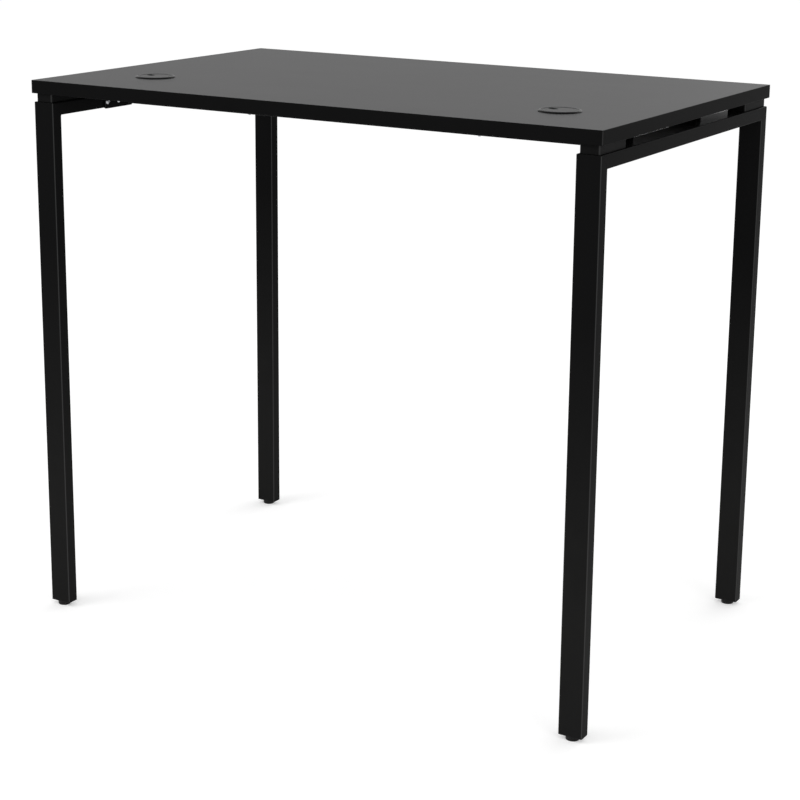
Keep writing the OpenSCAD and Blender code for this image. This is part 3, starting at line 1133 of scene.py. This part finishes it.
@dataclass
class Desktop:
    """The top: a particleboard core, laminate on both faces and a band round the edge."""

    length: float = 1200.0
    depth: float = 762.0
    top: float = 1067.0
    thickness: float = 25.0
    band: float = 2.0
    corner: float = 3.0
    edge: float = 1.0
    edge_faces: int = 5
    seam: float = 0.12

    def whole_block(self) -> BMesh:
        """Gives the top as one block with round corners and edges.

        Returns:
            The mesh.
        """
        size = (self.length, self.depth, self.thickness)
        centre = (0.0, 0.0, self.top - self.thickness / 2)
        return bar(size, centre, Axis.Z, self.corner, self.edge, self.edge_faces)

    def long_band(self, edge: Edge) -> BMesh:
        """Gives the band along a long edge.

        Args:
            edge: The long edge.

        Returns:
            The mesh.
        """
        bm = self.whole_block()
        plane = edge.value * (self.depth / 2 - self.band)
        cut(bm, (0, plane, 0), (0, -edge.value, 0), self.seam)
        return bm

    def short_band(self, side: Side) -> BMesh:
        """Gives the band along a short edge, between the two long ones.

        Args:
            side: The end of the desk.

        Returns:
            The mesh.
        """
        bm = self.whole_block()
        plane = side.value * (self.length / 2 - self.band)
        cut(bm, (plane, 0, 0), (-side.value, 0, 0), self.seam)
        for edge in Edge:
            cut(bm, (0, edge.value * (self.depth / 2 - self.band), 0), (0, edge.value, 0))
        return bm

    def dress(self, frame: dict, placer: Placer) -> None:
        """Places the bands and finishes the sheets.

        Args:
            frame: The loaded frame.
            placer: Places the pieces.
        """
        repaint(frame, "desktop_core", BOARD)
        repaint(frame, "top_laminate", LAMINATE)
        repaint(frame, "bottom_laminate", BACKER)
        bands = [(edge.word, self.long_band(edge)) for edge in Edge]
        bands += [(side.word, self.short_band(side)) for side in Side]
        for word, bm in bands:
            node = f"{word}_edge_band"
            placer.place(f"{word}_band_strip", bm, EDGE_BAND, "desk", "edge_band", [node])


@dataclass
class EndFrame:
    """One end frame: two legs and a rail of one tube, mitred, welded and ground."""

    side: Side
    x: float = 574.0
    outer_y: float = 377.0
    top: float = 1025.5
    bottom: float = 9.5
    width: float = 46.0
    depth: float = 25.0
    corner: float = 2.5
    seam: float = 0.35
    weld_radius: float = 3.44
    weld_sink: float = 0.6
    weld_faces: int = 16
    run_out: float = 3.0
    run_out_share: float = 0.16
    ripple_pitch: float = 1.6
    ripple_depth: float = 0.10

    def leg(self, edge: Edge) -> BMesh:
        """Gives a leg with its mitred upper end.

        Args:
            edge: The long edge that the leg stands at.

        Returns:
            The mesh.
        """
        height = self.top - self.bottom
        y = edge.value * (self.outer_y - self.depth / 2)
        centre = (self.side.value * self.x, y, self.bottom + height / 2)
        bm = bar((self.width, self.depth, height), centre, Axis.Z, self.corner)
        cut(bm, (0, edge.value * self.outer_y, self.top), (0, -edge.value, 1), self.seam)
        return bm

    def rail(self) -> BMesh:
        """Gives the rail with both ends mitred.

        Returns:
            The mesh.
        """
        centre = (self.side.value * self.x, 0.0, self.top - self.depth / 2)
        bm = bar((self.width, 2 * self.outer_y, self.depth), centre, Axis.Y, self.corner)
        for edge in Edge:
            cut(bm, (0, edge.value * self.outer_y, self.top), (0, edge.value, -1), self.seam)
        return bm

    def swell(self, place: float) -> float:
        """Gives the weld's share of its radius: rippled, and less towards both ends.

        Args:
            place: The distance from its middle.

        Returns:
            The share.
        """
        start = self.width / 2 - self.corner - self.run_out
        end = max(0.0, abs(place) - start) / self.run_out
        taper = math.sqrt(max(0.0, 1.0 - end**2) * (1.0 - self.run_out_share) + self.run_out_share)
        return (1.0 - self.ripple_depth * (place / self.ripple_pitch % 1.0)) * taper

    def inner_weld(self, edge: Edge) -> BMesh:
        """Gives the rippled bead in the corner between leg and rail.

        Args:
            edge: The long edge that the leg stands at.

        Returns:
            The mesh.
        """
        run = self.width - 2 * self.corner
        bm = weld_bead(self.weld_radius, run, self.ripple_pitch, self.weld_faces, self.swell)
        y = edge.value * (self.outer_y - self.depth - self.weld_sink)
        place = (self.side.value * self.x, y, self.top - self.depth - self.weld_sink)
        return moved(bm, place, Matrix.Rotation(math.pi / 2, 3, "Y"))

    def dress(self, placer: Placer) -> None:
        """Places the frame's pieces.

        Args:
            placer: Places the pieces.
        """
        word, slot = self.side.word, "powder_coat"
        for edge in Edge:
            node = f"{word}_{edge.word}_leg"
            placer.place(f"{node}_tube", self.leg(edge), POWDER, "desk", slot, [node])
            placer.place(f"{node}_weld", self.inner_weld(edge), POWDER, "desk", slot)
        node = f"{word}_top_rail"
        placer.place(f"{word}_rail_tube", self.rail(), POWDER, "desk", slot, [node])


@dataclass
class Spacer:
    """A moulded block that holds a corner of the top above the frame."""

    side: Side
    edge: Edge
    x: float = 574.0
    y: float = 323.5
    bottom: float = 1025.5
    width: float = 37.0
    length: float = 102.0
    height: float = 16.5
    corner: float = 4.0
    lip: float = 0.7

    def shell(self) -> BMesh:
        """Gives the block with soft upper and lower edges.

        Returns:
            The mesh.
        """
        size = (self.width, self.length, self.height)
        x, y = self.side.value * self.x, self.edge.value * self.y
        return bar(size, (x, y, self.bottom + self.height / 2), Axis.Z, self.corner, self.lip)

    def dress(self, placer: Placer) -> None:
        """Places the block.

        Args:
            placer: Places the pieces.
        """
        node = f"{self.side.word}_{self.edge.word}_spacer"
        name, slot = f"{node}_block", "spacer_plastic"
        placer.place(name, self.shell(), SPACER_PLASTIC, "desk", slot, [node])


@dataclass
class Crossbeam:
    """A beam of rectangular tube with a welded plate at each end, bolted to the rails."""

    edge: Edge
    y: float = 152.0
    top: float = 1042.0
    width: float = 20.0
    height: float = 38.0
    corner: float = 2.5
    half_length: float = 547.0
    plate: float = 4.0
    plate_inner_y: float = 142.0
    plate_outer_y: float = 226.0
    plate_bottom: float = 999.0
    plate_top: float = 1024.5
    plate_corner: float = 4.0
    plate_rim: float = 0.5
    bolt_y: tuple[float, float] = (185.0, 219.0)
    bolt_z: float = 1013.0
    weld_radius: float = 2.2
    weld_faces: int = 12
    weld_inset: float = 0.3
    weld_gap: float = 0.2
    ripple_pitch: float = 1.4
    ripple_depth: float = 0.12

    def tube(self) -> BMesh:
        """Gives the beam."""
        centre = (0.0, self.edge.value * self.y, self.top - self.height / 2)
        return bar((2 * self.half_length, self.width, self.height), centre, Axis.X, self.corner)

    def end_plate(self, side: Side) -> BMesh:
        """Gives the plate at one end.

        Args:
            side: The end of the beam.

        Returns:
            The mesh.
        """
        x = side.value * (self.half_length + self.plate / 2)
        y = self.edge.value * (self.plate_inner_y + self.plate_outer_y) / 2
        depth, height = self.plate_outer_y - self.plate_inner_y, self.plate_top - self.plate_bottom
        centre = (x, y, (self.plate_top + self.plate_bottom) / 2)
        return bar((self.plate, depth, height), centre, Axis.X, self.plate_corner, self.plate_rim)

    def bead(self, side: Side, length: float, place: Place, axis: Axis) -> BMesh:
        """Gives one straight weld bead in the corner of beam and plate.

        Args:
            side: The end of the beam.
            length: The bead's length.
            place: Its middle.
            axis: The axis that it runs along.

        Returns:
            The mesh.
        """

        def swell(height: float) -> float:
            """Gives the bead's share of its radius at a height."""
            return 1.0 - self.ripple_depth * (height * side.value / self.ripple_pitch % 1.0)

        bm = weld_bead(self.weld_radius, length, self.ripple_pitch, self.weld_faces, swell)
        turn = Matrix.Rotation(math.pi / 2, 3, "X") if axis is Axis.Y else None
        return moved(bm, place, turn)

    def beads(self, side: Side) -> BMesh:
        """Gives the welds down both flanks and under the beam.

        Args:
            side: The end of the beam.

        Returns:
            The mesh.
        """
        x = side.value * (self.half_length - self.weld_inset)
        middle = self.edge.value * self.y
        bottom = self.top - self.height
        reach = self.width / 2 + self.weld_gap
        run = self.plate_top - bottom - self.corner
        parts = [
            self.bead(side, run, (x, middle + flank * reach, self.plate_top - run / 2), Axis.Z)
            for flank in (-1, 1)
        ]
        under = (x, middle, bottom - self.weld_gap)
        parts.append(self.bead(side, self.width - 2 * self.corner, under, Axis.Y))
        return joined(parts)

    def dress(self, placer: Placer) -> None:
        """Places the beam, its plates and its welds.

        Args:
            placer: Places the pieces.
        """
        node, slot = f"{self.edge.word}_crossbeam", "powder_coat"
        placer.place(f"{node}_tube", self.tube(), POWDER, "desk", slot, [node])
        for side in Side:
            node = f"{side.word}_{self.edge.word}_end_plate"
            placer.place(f"{node}_steel", self.end_plate(side), POWDER, "desk", slot, [node])
            placer.place(f"{node}_weld", self.beads(side), POWDER, "desk", slot)


@dataclass(frozen=True)
class Screw:
    """A screw on the Z axis: its domed head points down from Z = 0, and its shank up."""

    diameter: float
    length: float
    point: float
    head_share: float = 1.8
    height_share: float = 0.32
    lip_share: float = 0.12
    socket_share: float = 0.7
    point_share: float = 0.55
    under_round: float = 0.15
    crown_gap: float = 0.9
    crown_edge: float = 0.55
    crown_drop: float = 0.04
    socket_bevel: float = 0.3
    socket_drop: float = 0.1
    shank_gap: float = 0.01
    shank_overlap: float = 0.2
    dome_steps: int = 7
    head_faces: int = 48
    shank_faces: int = 24

    def head(self) -> BMesh:
        """Gives the domed head with its hexagon socket.

        Returns:
            The mesh.
        """
        radius = self.head_share * self.diameter / 2
        height = self.height_share * 2 * radius
        lip = self.lip_share * height
        dome = (radius**2 + height**2) / (2 * height)
        across = self.socket_share * self.diameter * math.cos(math.pi / 6)
        loops = [(circle_outline(radius - self.under_round), 0.0), (circle_outline(radius), -lip)]
        for step in range(1, self.dome_steps):
            share = step / self.dome_steps
            reach = radius * (1 - share) + (across / 2 + self.crown_gap) * share
            drop = math.sqrt(dome**2 - reach**2) - (dome - height)
            loops.append((circle_outline(reach), -max(lip, drop)))
        loops.append((circle_outline(across / 2 + self.crown_edge), -height + self.crown_drop))
        loops.append((hexagon_outline(across + self.socket_bevel), -height + self.socket_drop))
        loops.append((hexagon_outline(across), -height + self.socket_bevel))
        loops.append((hexagon_outline(across), -height / 2))
        bm = skin(loops, self.head_faces, closed=False)
        bmesh.ops.holes_fill(bm, edges=[edge for edge in bm.edges if edge.is_boundary], sides=0)
        bmesh.ops.recalc_face_normals(bm, faces=bm.faces)
        return bm

    def shank(self) -> BMesh:
        """Gives the plain shank with its chamfered or pointed end.

        Returns:
            The mesh.
        """
        radius = self.diameter / 2 - self.shank_gap
        profile = [(0.0, -self.shank_overlap), (radius, -self.shank_overlap)]
        profile += [(radius, self.length - self.point), (radius * self.point_share, self.length)]
        return lathe(profile + [(0.0, self.length)], self.shank_faces, closed=False)

    def made(self, place: Place, turn: Optional[Matrix] = None) -> list[BMesh]:
        """Gives the screw's head and shank at a place."""
        return [moved(part, place, turn) for part in (self.head(), self.shank())]


@dataclass
class Fasteners:
    """The zinc-plated bolts and screws."""

    beam: Crossbeam = field(default_factory=lambda: Crossbeam(Edge.FRONT))
    bolt: Screw = Screw(diameter=6.0, length=12.5, point=0.8)
    spacer_screw: Screw = Screw(diameter=6.0, length=57.5, point=4.0)
    beam_screw: Screw = Screw(diameter=4.5, length=52.0, point=3.5)
    spacer_screw_y: tuple[float, float] = (338.0, 288.0)
    beam_screw_x: tuple[float, float] = (-252.0, 252.0)
    rail_x: float = 574.0
    rail_bottom: float = 1000.5

    def bolts(self) -> BMesh:
        """Gives the bolts that hold the end plates to the rails.

        Returns:
            The mesh.
        """
        parts = []
        for side, edge, y in product(Side, Edge, self.beam.bolt_y):
            place = (side.value * self.beam.half_length, edge.value * y, self.beam.bolt_z)
            parts += self.bolt.made(place, Matrix.Rotation(side.value * math.pi / 2, 3, "Y"))
        return joined(parts)

    def spacer_screws(self) -> BMesh:
        """Gives the screws that go up through rail and spacer into the top.

        Returns:
            The mesh.
        """
        parts = []
        for side, edge, y in product(Side, Edge, self.spacer_screw_y):
            place = (side.value * self.rail_x, edge.value * y, self.rail_bottom)
            parts += self.spacer_screw.made(place)
        return joined(parts)

    def beam_screws(self) -> BMesh:
        """Gives the screws that go up through the beams into the top.

        Returns:
            The mesh.
        """
        parts = []
        for edge, x in product(Edge, self.beam_screw_x):
            place = (x, edge.value * self.beam.y, self.beam.top - self.beam.height)
            parts += self.beam_screw.made(place)
        return joined(parts)

    def dress(self, frame: dict, placer: Placer) -> None:
        """Places the fasteners and finishes the weld nuts.

        Args:
            frame: The loaded frame.
            placer: Places the pieces.
        """
        repaint(frame, "rail_weld_nuts", ZINC)
        sets = (
            ("plate_bolt", self.bolts()),
            ("spacer_screw", self.spacer_screws()),
            ("beam_screw", self.beam_screws()),
        )
        for word, bm in sets:
            placer.place(f"{word}_set", bm, ZINC, "desk", "zinc_steel", [f"{word}s"])


@dataclass
class LevellingFoot:
    """A nylon glide on a threaded stud, in a moulded plug at the leg's end."""

    side: Side
    edge: Edge
    x: float = 574.0
    y: float = 364.5
    height: float = 8.0
    radius: float = 12.5
    rounding: float = 1.0
    recess_radius: float = 5.2
    recess_depth: float = 0.35
    recess_slope: float = 0.6
    groove_bottom: float = 5.4
    groove_top: float = 6.4
    groove_depth: float = 0.35
    groove_slope: float = 0.3
    top_rounding: float = 0.6
    glide_gap: float = 0.05
    stud_radius: float = 4.0
    stud_bottom: float = 2.5
    stud_top: float = 42.5
    stud_inset: float = 0.01
    stud_taper: float = 1.2
    pitch: float = 1.25
    thread_depth: float = 0.68
    thread_root: float = 0.12
    thread_flank: float = 0.42
    thread_crest: float = 0.17
    thread_merge: float = 0.001
    thread_faces: int = 24
    flange: float = 1.5
    flange_rim: float = 0.35
    tube_width: float = 46.0
    tube_depth: float = 25.0
    tube_corner: float = 2.5
    bore_gap: float = 0.08
    boss_radius: float = 7.0
    boss_bottom: float = 0.02
    boss_top: float = 29.5
    plug_size: Place = (42.2, 21.2, 27.0)
    plug_lift: float = 0.2
    plug_corner: float = 1.5
    plug_rim: float = 0.4
    plug_wall: float = 2.0

    @property
    def word(self) -> str:
        """The foot's name in node names."""
        return f"{self.side.word}_{self.edge.word}"

    @property
    def place(self) -> Place:
        """The middle of the foot on the floor."""
        return (self.side.value * self.x, self.edge.value * self.y, 0.0)

    def base(self) -> BMesh:
        """Gives the glide, with a shallow ring under it and a collar groove.

        Returns:
            The mesh.
        """
        r, h, groove = self.radius, self.height, self.radius - self.groove_depth
        bore, soft, top_soft = self.stud_radius + self.glide_gap, self.rounding, self.top_rounding
        profile = [(0.0, self.recess_depth), (self.recess_radius, self.recess_depth)]
        profile += [(self.recess_radius + self.recess_slope, 0.0)]
        profile += arc((r - soft, soft), soft, -90, 0, steps=8)
        profile += [(r, self.groove_bottom), (groove, self.groove_bottom + self.groove_slope)]
        profile += [(groove, self.groove_top - self.groove_slope), (r, self.groove_top)]
        profile += arc((r - top_soft, h - top_soft), top_soft, 0, 90, steps=4)
        profile += [(bore, h), (bore, self.stud_bottom), (0.0, self.stud_bottom)]
        return moved(lathe(profile, closed=False), self.place)

    def thread(self) -> BMesh:
        """Gives one long rolled thread, as it is before it is cut to length.

        Returns:
            The mesh.
        """
        root, crest = self.stud_radius - self.thread_depth, self.stud_radius
        start = self.stud_bottom - self.pitch
        rises = (self.thread_root, self.thread_flank, self.thread_crest, self.thread_flank)
        levels = [start + sum(rises[:i]) for i in range(5)] + [start + self.pitch]
        bm = bmesh.new()
        line = wire(bm, list(zip((root, root, crest, crest, root, root), levels)), closed=False)
        turns = math.ceil((self.stud_top - self.stud_bottom) / self.pitch) + 2
        steps = self.thread_faces
        sweep(bm, line, 2 * math.pi * turns, steps * turns, rise=self.pitch / steps)
        bmesh.ops.remove_doubles(bm, verts=bm.verts, dist=self.thread_merge)
        return bm

    def stud(self) -> BMesh:
        """Gives the stud, cut to length and tapered at its upper end.

        Returns:
            The mesh.
        """
        bm = self.thread()
        cut(bm, (0, 0, self.stud_bottom + self.stud_inset), (0, 0, -1))
        cut(bm, (0, 0, self.stud_top - self.stud_inset), (0, 0, 1))
        bmesh.ops.recalc_face_normals(bm, faces=bm.faces)
        for vert in bm.verts:
            over = vert.co.z - (self.stud_top - self.stud_taper)
            reach = math.hypot(vert.co.x, vert.co.y)
            limit = self.stud_radius - over
            if over > 0 and reach > limit:
                vert.co.x *= limit / reach
                vert.co.y *= limit / reach
        return moved(bm, self.place)

    def plug(self) -> BMesh:
        """Gives the plug: a flange that covers the tube's end, a body inside it and a boss.

        Returns:
            The mesh.
        """
        x, y, _ = self.place
        low = self.height
        size = (self.tube_width, self.tube_depth, self.flange)
        middle = (x, y, low + self.flange / 2)
        flange = bar(size, middle, Axis.Z, self.tube_corner, self.flange_rim)
        bore, outer = self.stud_radius + self.bore_gap, self.boss_radius
        bottom, top = low + self.boss_bottom, low + self.boss_top
        profile = [(bore, bottom), (outer, bottom), (outer, top), (bore, top)]
        boss = moved(lathe(profile, 48), (x, y, 0.0))
        middle = (x, y, low + self.flange + self.plug_size[2] / 2 + self.plug_lift)
        body = bar(self.plug_size, middle, Axis.Z, self.plug_corner, self.plug_rim)
        faces = [face for face in body.faces if face.normal.z > UPWARDS]
        bmesh.ops.inset_region(body, faces=faces, thickness=self.plug_wall, use_even_offset=True)
        bmesh.ops.recalc_face_normals(body, faces=body.faces)
        return joined([flange, boss, body])

    def dress(self, placer: Placer) -> None:
        """Places the foot's base, stud and plug.

        Args:
            placer: Places the pieces.
        """
        body = f"{self.word}_foot"
        node, slot = f"{body}_base", "foot_nylon"
        placer.place(f"{body}_glide", self.base(), FOOT_NYLON, body, slot, [node])
        node, slot = f"{body}_stud", "zinc_steel"
        placer.place(f"{body}_thread", self.stud(), ZINC, body, slot, [node])
        node, slot = f"{self.word}_leg_plug", "plug_plastic"
        placer.place(f"{node}_moulding", self.plug(), PLUG_PLASTIC, "desk", slot, [node])


@dataclass
class Grommet:
    """A cable grommet: a sleeve that snaps into the top, and a turning cap with a slot."""

    side: Side
    x: float = 437.0
    y: float = -206.0
    top: float = 1067.0
    hole: float = 32.0
    flange_radius: float = 38.5
    flange_height: float = 3.0
    flange_edge: float = 1.0
    flange_crest: float = 1.0
    ledge: float = 0.8
    seat_gap: float = 0.03
    seat_bevel: float = 0.2
    recess_radius: float = 33.3
    recess_round: float = 0.3
    sleeve_outer: float = 31.7
    sleeve_inner: float = 29.9
    sleeve_depth: float = 20.0
    tongues: int = 4
    tongue_gap: float = 3.0
    tongue_length: float = 11.0
    tongue_inner_bevel: float = 0.6
    tongue_outer_bevel: Point = (0.5, 0.8)
    tongue_faces: int = 28
    rib_count: int = 8
    rib_size: Place = (1.2, 1.6, 6.0)
    rib_inset: float = 0.75
    rib_middle: float = -4.0
    rib_round: float = 0.3
    cap_radius: float = 33.0
    cap_plate: float = 1.7
    cap_dish: float = 0.5
    cap_rim: float = 2.5
    cap_edge: float = 0.8
    cap_under_bevel: float = 0.2
    dish_blend: float = 0.35
    dish_bend: float = 0.1
    skirt_outer: float = 29.6
    skirt_wall: float = 1.5
    skirt_depth: float = 6.0
    skirt_bevel: float = 0.3
    slot_length: float = 20.0
    slot_width: float = 12.0
    slot_middle: float = 17.5
    slot_turn: float = 158.0
    slot_bevel: float = 0.4
    slot_round: tuple[Point, ...] = ((0.0, 0.5), (0.07, 0.24), (0.24, 0.07), (0.5, 0.0))
    faces: int = 128

    @property
    def place(self) -> Place:
        """The grommet's middle on the worktop."""
        return (self.side.value * self.x, self.y, self.top)

    def flange(self) -> BMesh:
        """Gives the flange, the ledge under the cap and the upper tube.

        Returns:
            The mesh.
        """
        low, high = self.tongue_length - self.sleeve_depth, self.flange_height
        inner, outer = self.sleeve_inner, self.sleeve_outer
        recess, soft = self.recess_radius, self.recess_round
        fall = high - self.flange_edge
        slope = self.flange_radius - recess - self.flange_crest
        dome = (slope**2 + fall**2) / (2 * fall)
        start = math.degrees(math.acos(slope / dome))
        seat = self.ledge - self.seat_gap
        profile = [(inner, low), (outer, low), (outer, 0.0), (self.flange_radius, 0.0)]
        profile += arc((recess + self.flange_crest, high - dome), dome, start, 90, steps=10)
        profile += arc((recess + soft, high - soft), soft, 90, 180, steps=3)
        profile += [(recess, seat), (inner + self.seat_bevel, seat)]
        profile += [(inner, seat - self.seat_bevel)]
        return lathe(profile, self.faces)

    def snap_tube(self) -> list[BMesh]:
        """Gives the tongues of the tube below the flange, with bevelled lower ends.

        Returns:
            One mesh for each tongue.
        """
        bottom, top = -self.sleeve_depth, self.tongue_length - self.sleeve_depth
        inner, outer = self.sleeve_inner, self.sleeve_outer
        inner_bevel, (across, up) = self.tongue_inner_bevel, self.tongue_outer_bevel
        profile = [(inner, top), (inner, bottom + inner_bevel), (inner + inner_bevel, bottom)]
        profile += [(outer - across, bottom), (outer, bottom + up), (outer, top)]
        half_gap = math.asin(self.tongue_gap / 2 / outer)
        span = 2 * math.pi / self.tongues
        made = []
        for i in range(self.tongues):
            bm = bmesh.new()
            section = wire(bm, profile, closed=True) + [bm.faces.new(bm.verts[:])]
            turn = Matrix.Rotation(i * span + half_gap, 3, "Z")
            bmesh.ops.rotate(bm, cent=(0, 0, 0), matrix=turn, verts=bm.verts)
            sweep(bm, section, span - 2 * half_gap, self.tongue_faces)
            tidy(bm)
            made.append(bm)
        return made

    def ribs(self) -> list[BMesh]:
        """Gives the crush ribs under the laminate.

        Returns:
            One mesh for each rib.
        """
        made = []
        for i in range(self.rib_count):
            bm = block(self.rib_size, (self.hole - self.rib_inset, 0.0, self.rib_middle))
            bevel(bm, edges_along(bm, Axis.Z), self.rib_round, RIM_FACES)
            angle = 2 * math.pi * (i + 0.5) / self.rib_count
            made.append(moved(bm, (0, 0, 0), Matrix.Rotation(angle, 3, "Z")))
        return made

    def sleeve(self) -> BMesh:
        """Gives the whole sleeve."""
        return moved(joined([self.flange()] + self.snap_tube() + self.ribs()), self.place)

    def slot(self, grow: float) -> Outline:
        """Gives the slot's outline, grown outwards."""
        length, width = self.slot_length + 2 * grow, self.slot_width + 2 * grow
        return slot_outline(length, width, self.slot_middle, math.radians(self.slot_turn))

    def cap(self) -> BMesh:
        """Gives the cap: a dished plate with a raised rim, a skirt and a slot with rounded lips.

        Returns:
            The mesh.
        """
        plate, rim_top = self.cap_plate, self.cap_plate + self.cap_dish
        rim, dish, edge = self.cap_radius, self.cap_radius - self.cap_rim, self.cap_edge
        blend, bend, under = self.dish_blend, self.dish_bend, self.cap_under_bevel
        wall, inner = self.skirt_outer, self.skirt_outer - self.skirt_wall
        low, soft = -self.skirt_depth, self.skirt_bevel
        profile = [(dish - blend, plate), (dish - bend, plate + bend)]
        profile += [(dish + bend, rim_top - bend), (dish + blend, rim_top)]
        profile += arc((rim - edge, rim_top - edge), edge, 90, 0, steps=5)
        profile += [(rim, under), (rim - under, 0.0), (wall, 0.0), (wall, low + soft)]
        profile += [(wall - soft, low), (inner, low), (inner, 0.0)]
        loops = [(self.slot(0.0), self.slot_bevel)]
        loops += [(self.slot(grow), plate - drop) for grow, drop in self.slot_round]
        loops += [(circle_outline(radius), height) for radius, height in profile]
        loops += [(self.slot(self.slot_bevel), 0.0)]
        x, y, z = self.place
        return moved(skin(loops, self.faces), (x, y, z + self.ledge))

    def dress(self, placer: Placer) -> None:
        """Places the sleeve and the cap.

        Args:
            placer: Places the pieces.
        """
        name, slot = f"{self.side.word}_grommet", "grommet_plastic"
        body = f"{self.side.word}_cap"
        placer.place(f"{name}_ring", self.sleeve(), RING_PLASTIC, "desk", slot, [f"{name}_sleeve"])
        placer.place(f"{name}_lid", self.cap(), CAP_PLASTIC, body, slot, [f"{name}_cap"])


# The studio, in metres


@dataclass(frozen=True)
class Softbox:
    """A square softbox."""

    name: str
    spot: Place
    aim: Place
    size: float
    power: float

    def hang(self) -> None:
        """Adds the lamp, turned towards its aim."""
        data = bpy.data.lights.new(self.name, "AREA")
        data.shape = "SQUARE"
        data.size = self.size
        data.energy = self.power
        lamp = bpy.data.objects.new(self.name, data)
        lamp.location = self.spot
        lamp.rotation_mode = "QUATERNION"
        lamp.rotation_quaternion = (Vector(self.aim) - Vector(self.spot)).to_track_quat("-Z", "Y")
        bpy.context.scene.collection.objects.link(lamp)


@dataclass
class Studio:
    """A pale floor, soft light, a white surround and the photograph's camera."""

    azimuth: float = 30.8007
    elevation: float = 13.4851
    roll: float = 0.5540
    distance: float = 3.576
    focal_px: float = 1882.61
    principal_y: float = 308.0
    frame_px: float = 800.0
    sensor: float = 36.0
    target: Place = (0.07060, -0.12016, 0.65469)
    floor_size: float = 400.0
    floor_colour: Rgb = (0.82, 0.82, 0.82)
    floor_roughness: float = 0.9
    floor_lift: float = 0.35
    ambient: float = 0.8
    lamps: tuple[Softbox, ...] = (
        Softbox("key", spot=(-2.6, -3.0, 3.6), aim=(0.0, 0.0, 0.6), size=2.4, power=46.0),
        Softbox("fill", spot=(3.8, -1.6, 2.6), aim=(0.0, 0.0, 0.6), size=2.0, power=20.0),
        Softbox("back", spot=(0.6, 3.6, 3.0), aim=(0.0, 0.0, 0.8), size=2.4, power=22.0),
    )

    def camera(self) -> None:
        """Sets up the camera at the photograph's viewing angle."""
        a, e, r = (math.radians(v) for v in (self.azimuth, self.elevation, self.roll))
        back = Vector((math.sin(a) * math.cos(e), -math.cos(a) * math.cos(e), math.sin(e)))
        level = (-back).cross(Vector((0, 0, 1))).normalized()
        upright = level.cross(-back)
        right = math.cos(r) * level + math.sin(r) * upright
        up = math.cos(r) * upright - math.sin(r) * level
        data = bpy.data.cameras.new("camera")
        data.sensor_width = self.sensor
        data.lens = self.focal_px * self.sensor / self.frame_px
        data.shift_y = (self.principal_y - self.frame_px / 2) / self.frame_px
        camera = bpy.data.objects.new("camera", data)
        spot = Vector(self.target) + back * self.distance
        axes = Matrix((right, up, back)).transposed().to_4x4()
        camera.matrix_world = Matrix.Translation(spot) @ axes
        bpy.context.scene.collection.objects.link(camera)
        bpy.context.scene.camera = camera

    def surround(self) -> None:
        """Sets up the world: white where it is seen, softer as light."""
        world = bpy.data.worlds.new("white surround")
        bpy.context.scene.world = world
        world.use_nodes = True
        tree = world.node_tree
        shine = tree.nodes["Background"]
        shine.inputs["Color"].default_value = (1.0, 1.0, 1.0, 1.0)
        strength = range_node(tree, seen_directly(tree), (0.0, 1.0), (self.ambient, 1.0))
        tree.links.new(strength, shine.inputs["Strength"])

    def floor(self) -> None:
        """Adds the floor, which keeps the shadow and is white where nothing shades it."""
        bm = bmesh.new()
        bmesh.ops.create_grid(bm, x_segments=1, y_segments=1, size=self.floor_size / 2)
        mesh = bpy.data.meshes.new("floor")
        bm.to_mesh(mesh)
        bm.free()
        floor = bpy.data.objects.new("floor", mesh)
        bpy.context.scene.collection.objects.link(floor)
        material, shader = start_material(
            "pale_floor", self.floor_colour, self.floor_roughness, metallic=0.0, specular=0.0
        )
        tree = material.node_tree
        lift = range_node(tree, seen_directly(tree), (0.0, 1.0), (0.0, self.floor_lift))
        shader.inputs["Emission Color"].default_value = (1.0, 1.0, 1.0, 1.0)
        tree.links.new(lift, shader.inputs["Emission Strength"])
        mesh.materials.append(material)

    def build(self) -> None:
        """Sets up the whole studio."""
        view = bpy.context.scene.view_settings
        view.view_transform = "Standard"
        self.surround()
        self.floor()
        for lamp in self.lamps:
            lamp.hang()
        self.camera()


def main() -> None:
    """Builds the desk piece by piece around the frame."""
    logging.basicConfig(level=logging.INFO, format="%(name)s: %(message)s")
    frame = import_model()
    Studio().build()
    placer = Placer()
    Desktop().dress(frame, placer)
    for side in Side:
        EndFrame(side).dress(placer)
    for side, edge in product(Side, Edge):
        Spacer(side, edge).dress(placer)
        LevellingFoot(side, edge).dress(placer)
    for edge in Edge:
        Crossbeam(edge).dress(placer)
    Fasteners().dress(frame, placer)
    for side in Side:
        Grommet(side).dress(placer)
    LOG.info("%d pieces, %d triangles", placer.placed, placer.triangles)


if __name__ == "__main__":
    main()
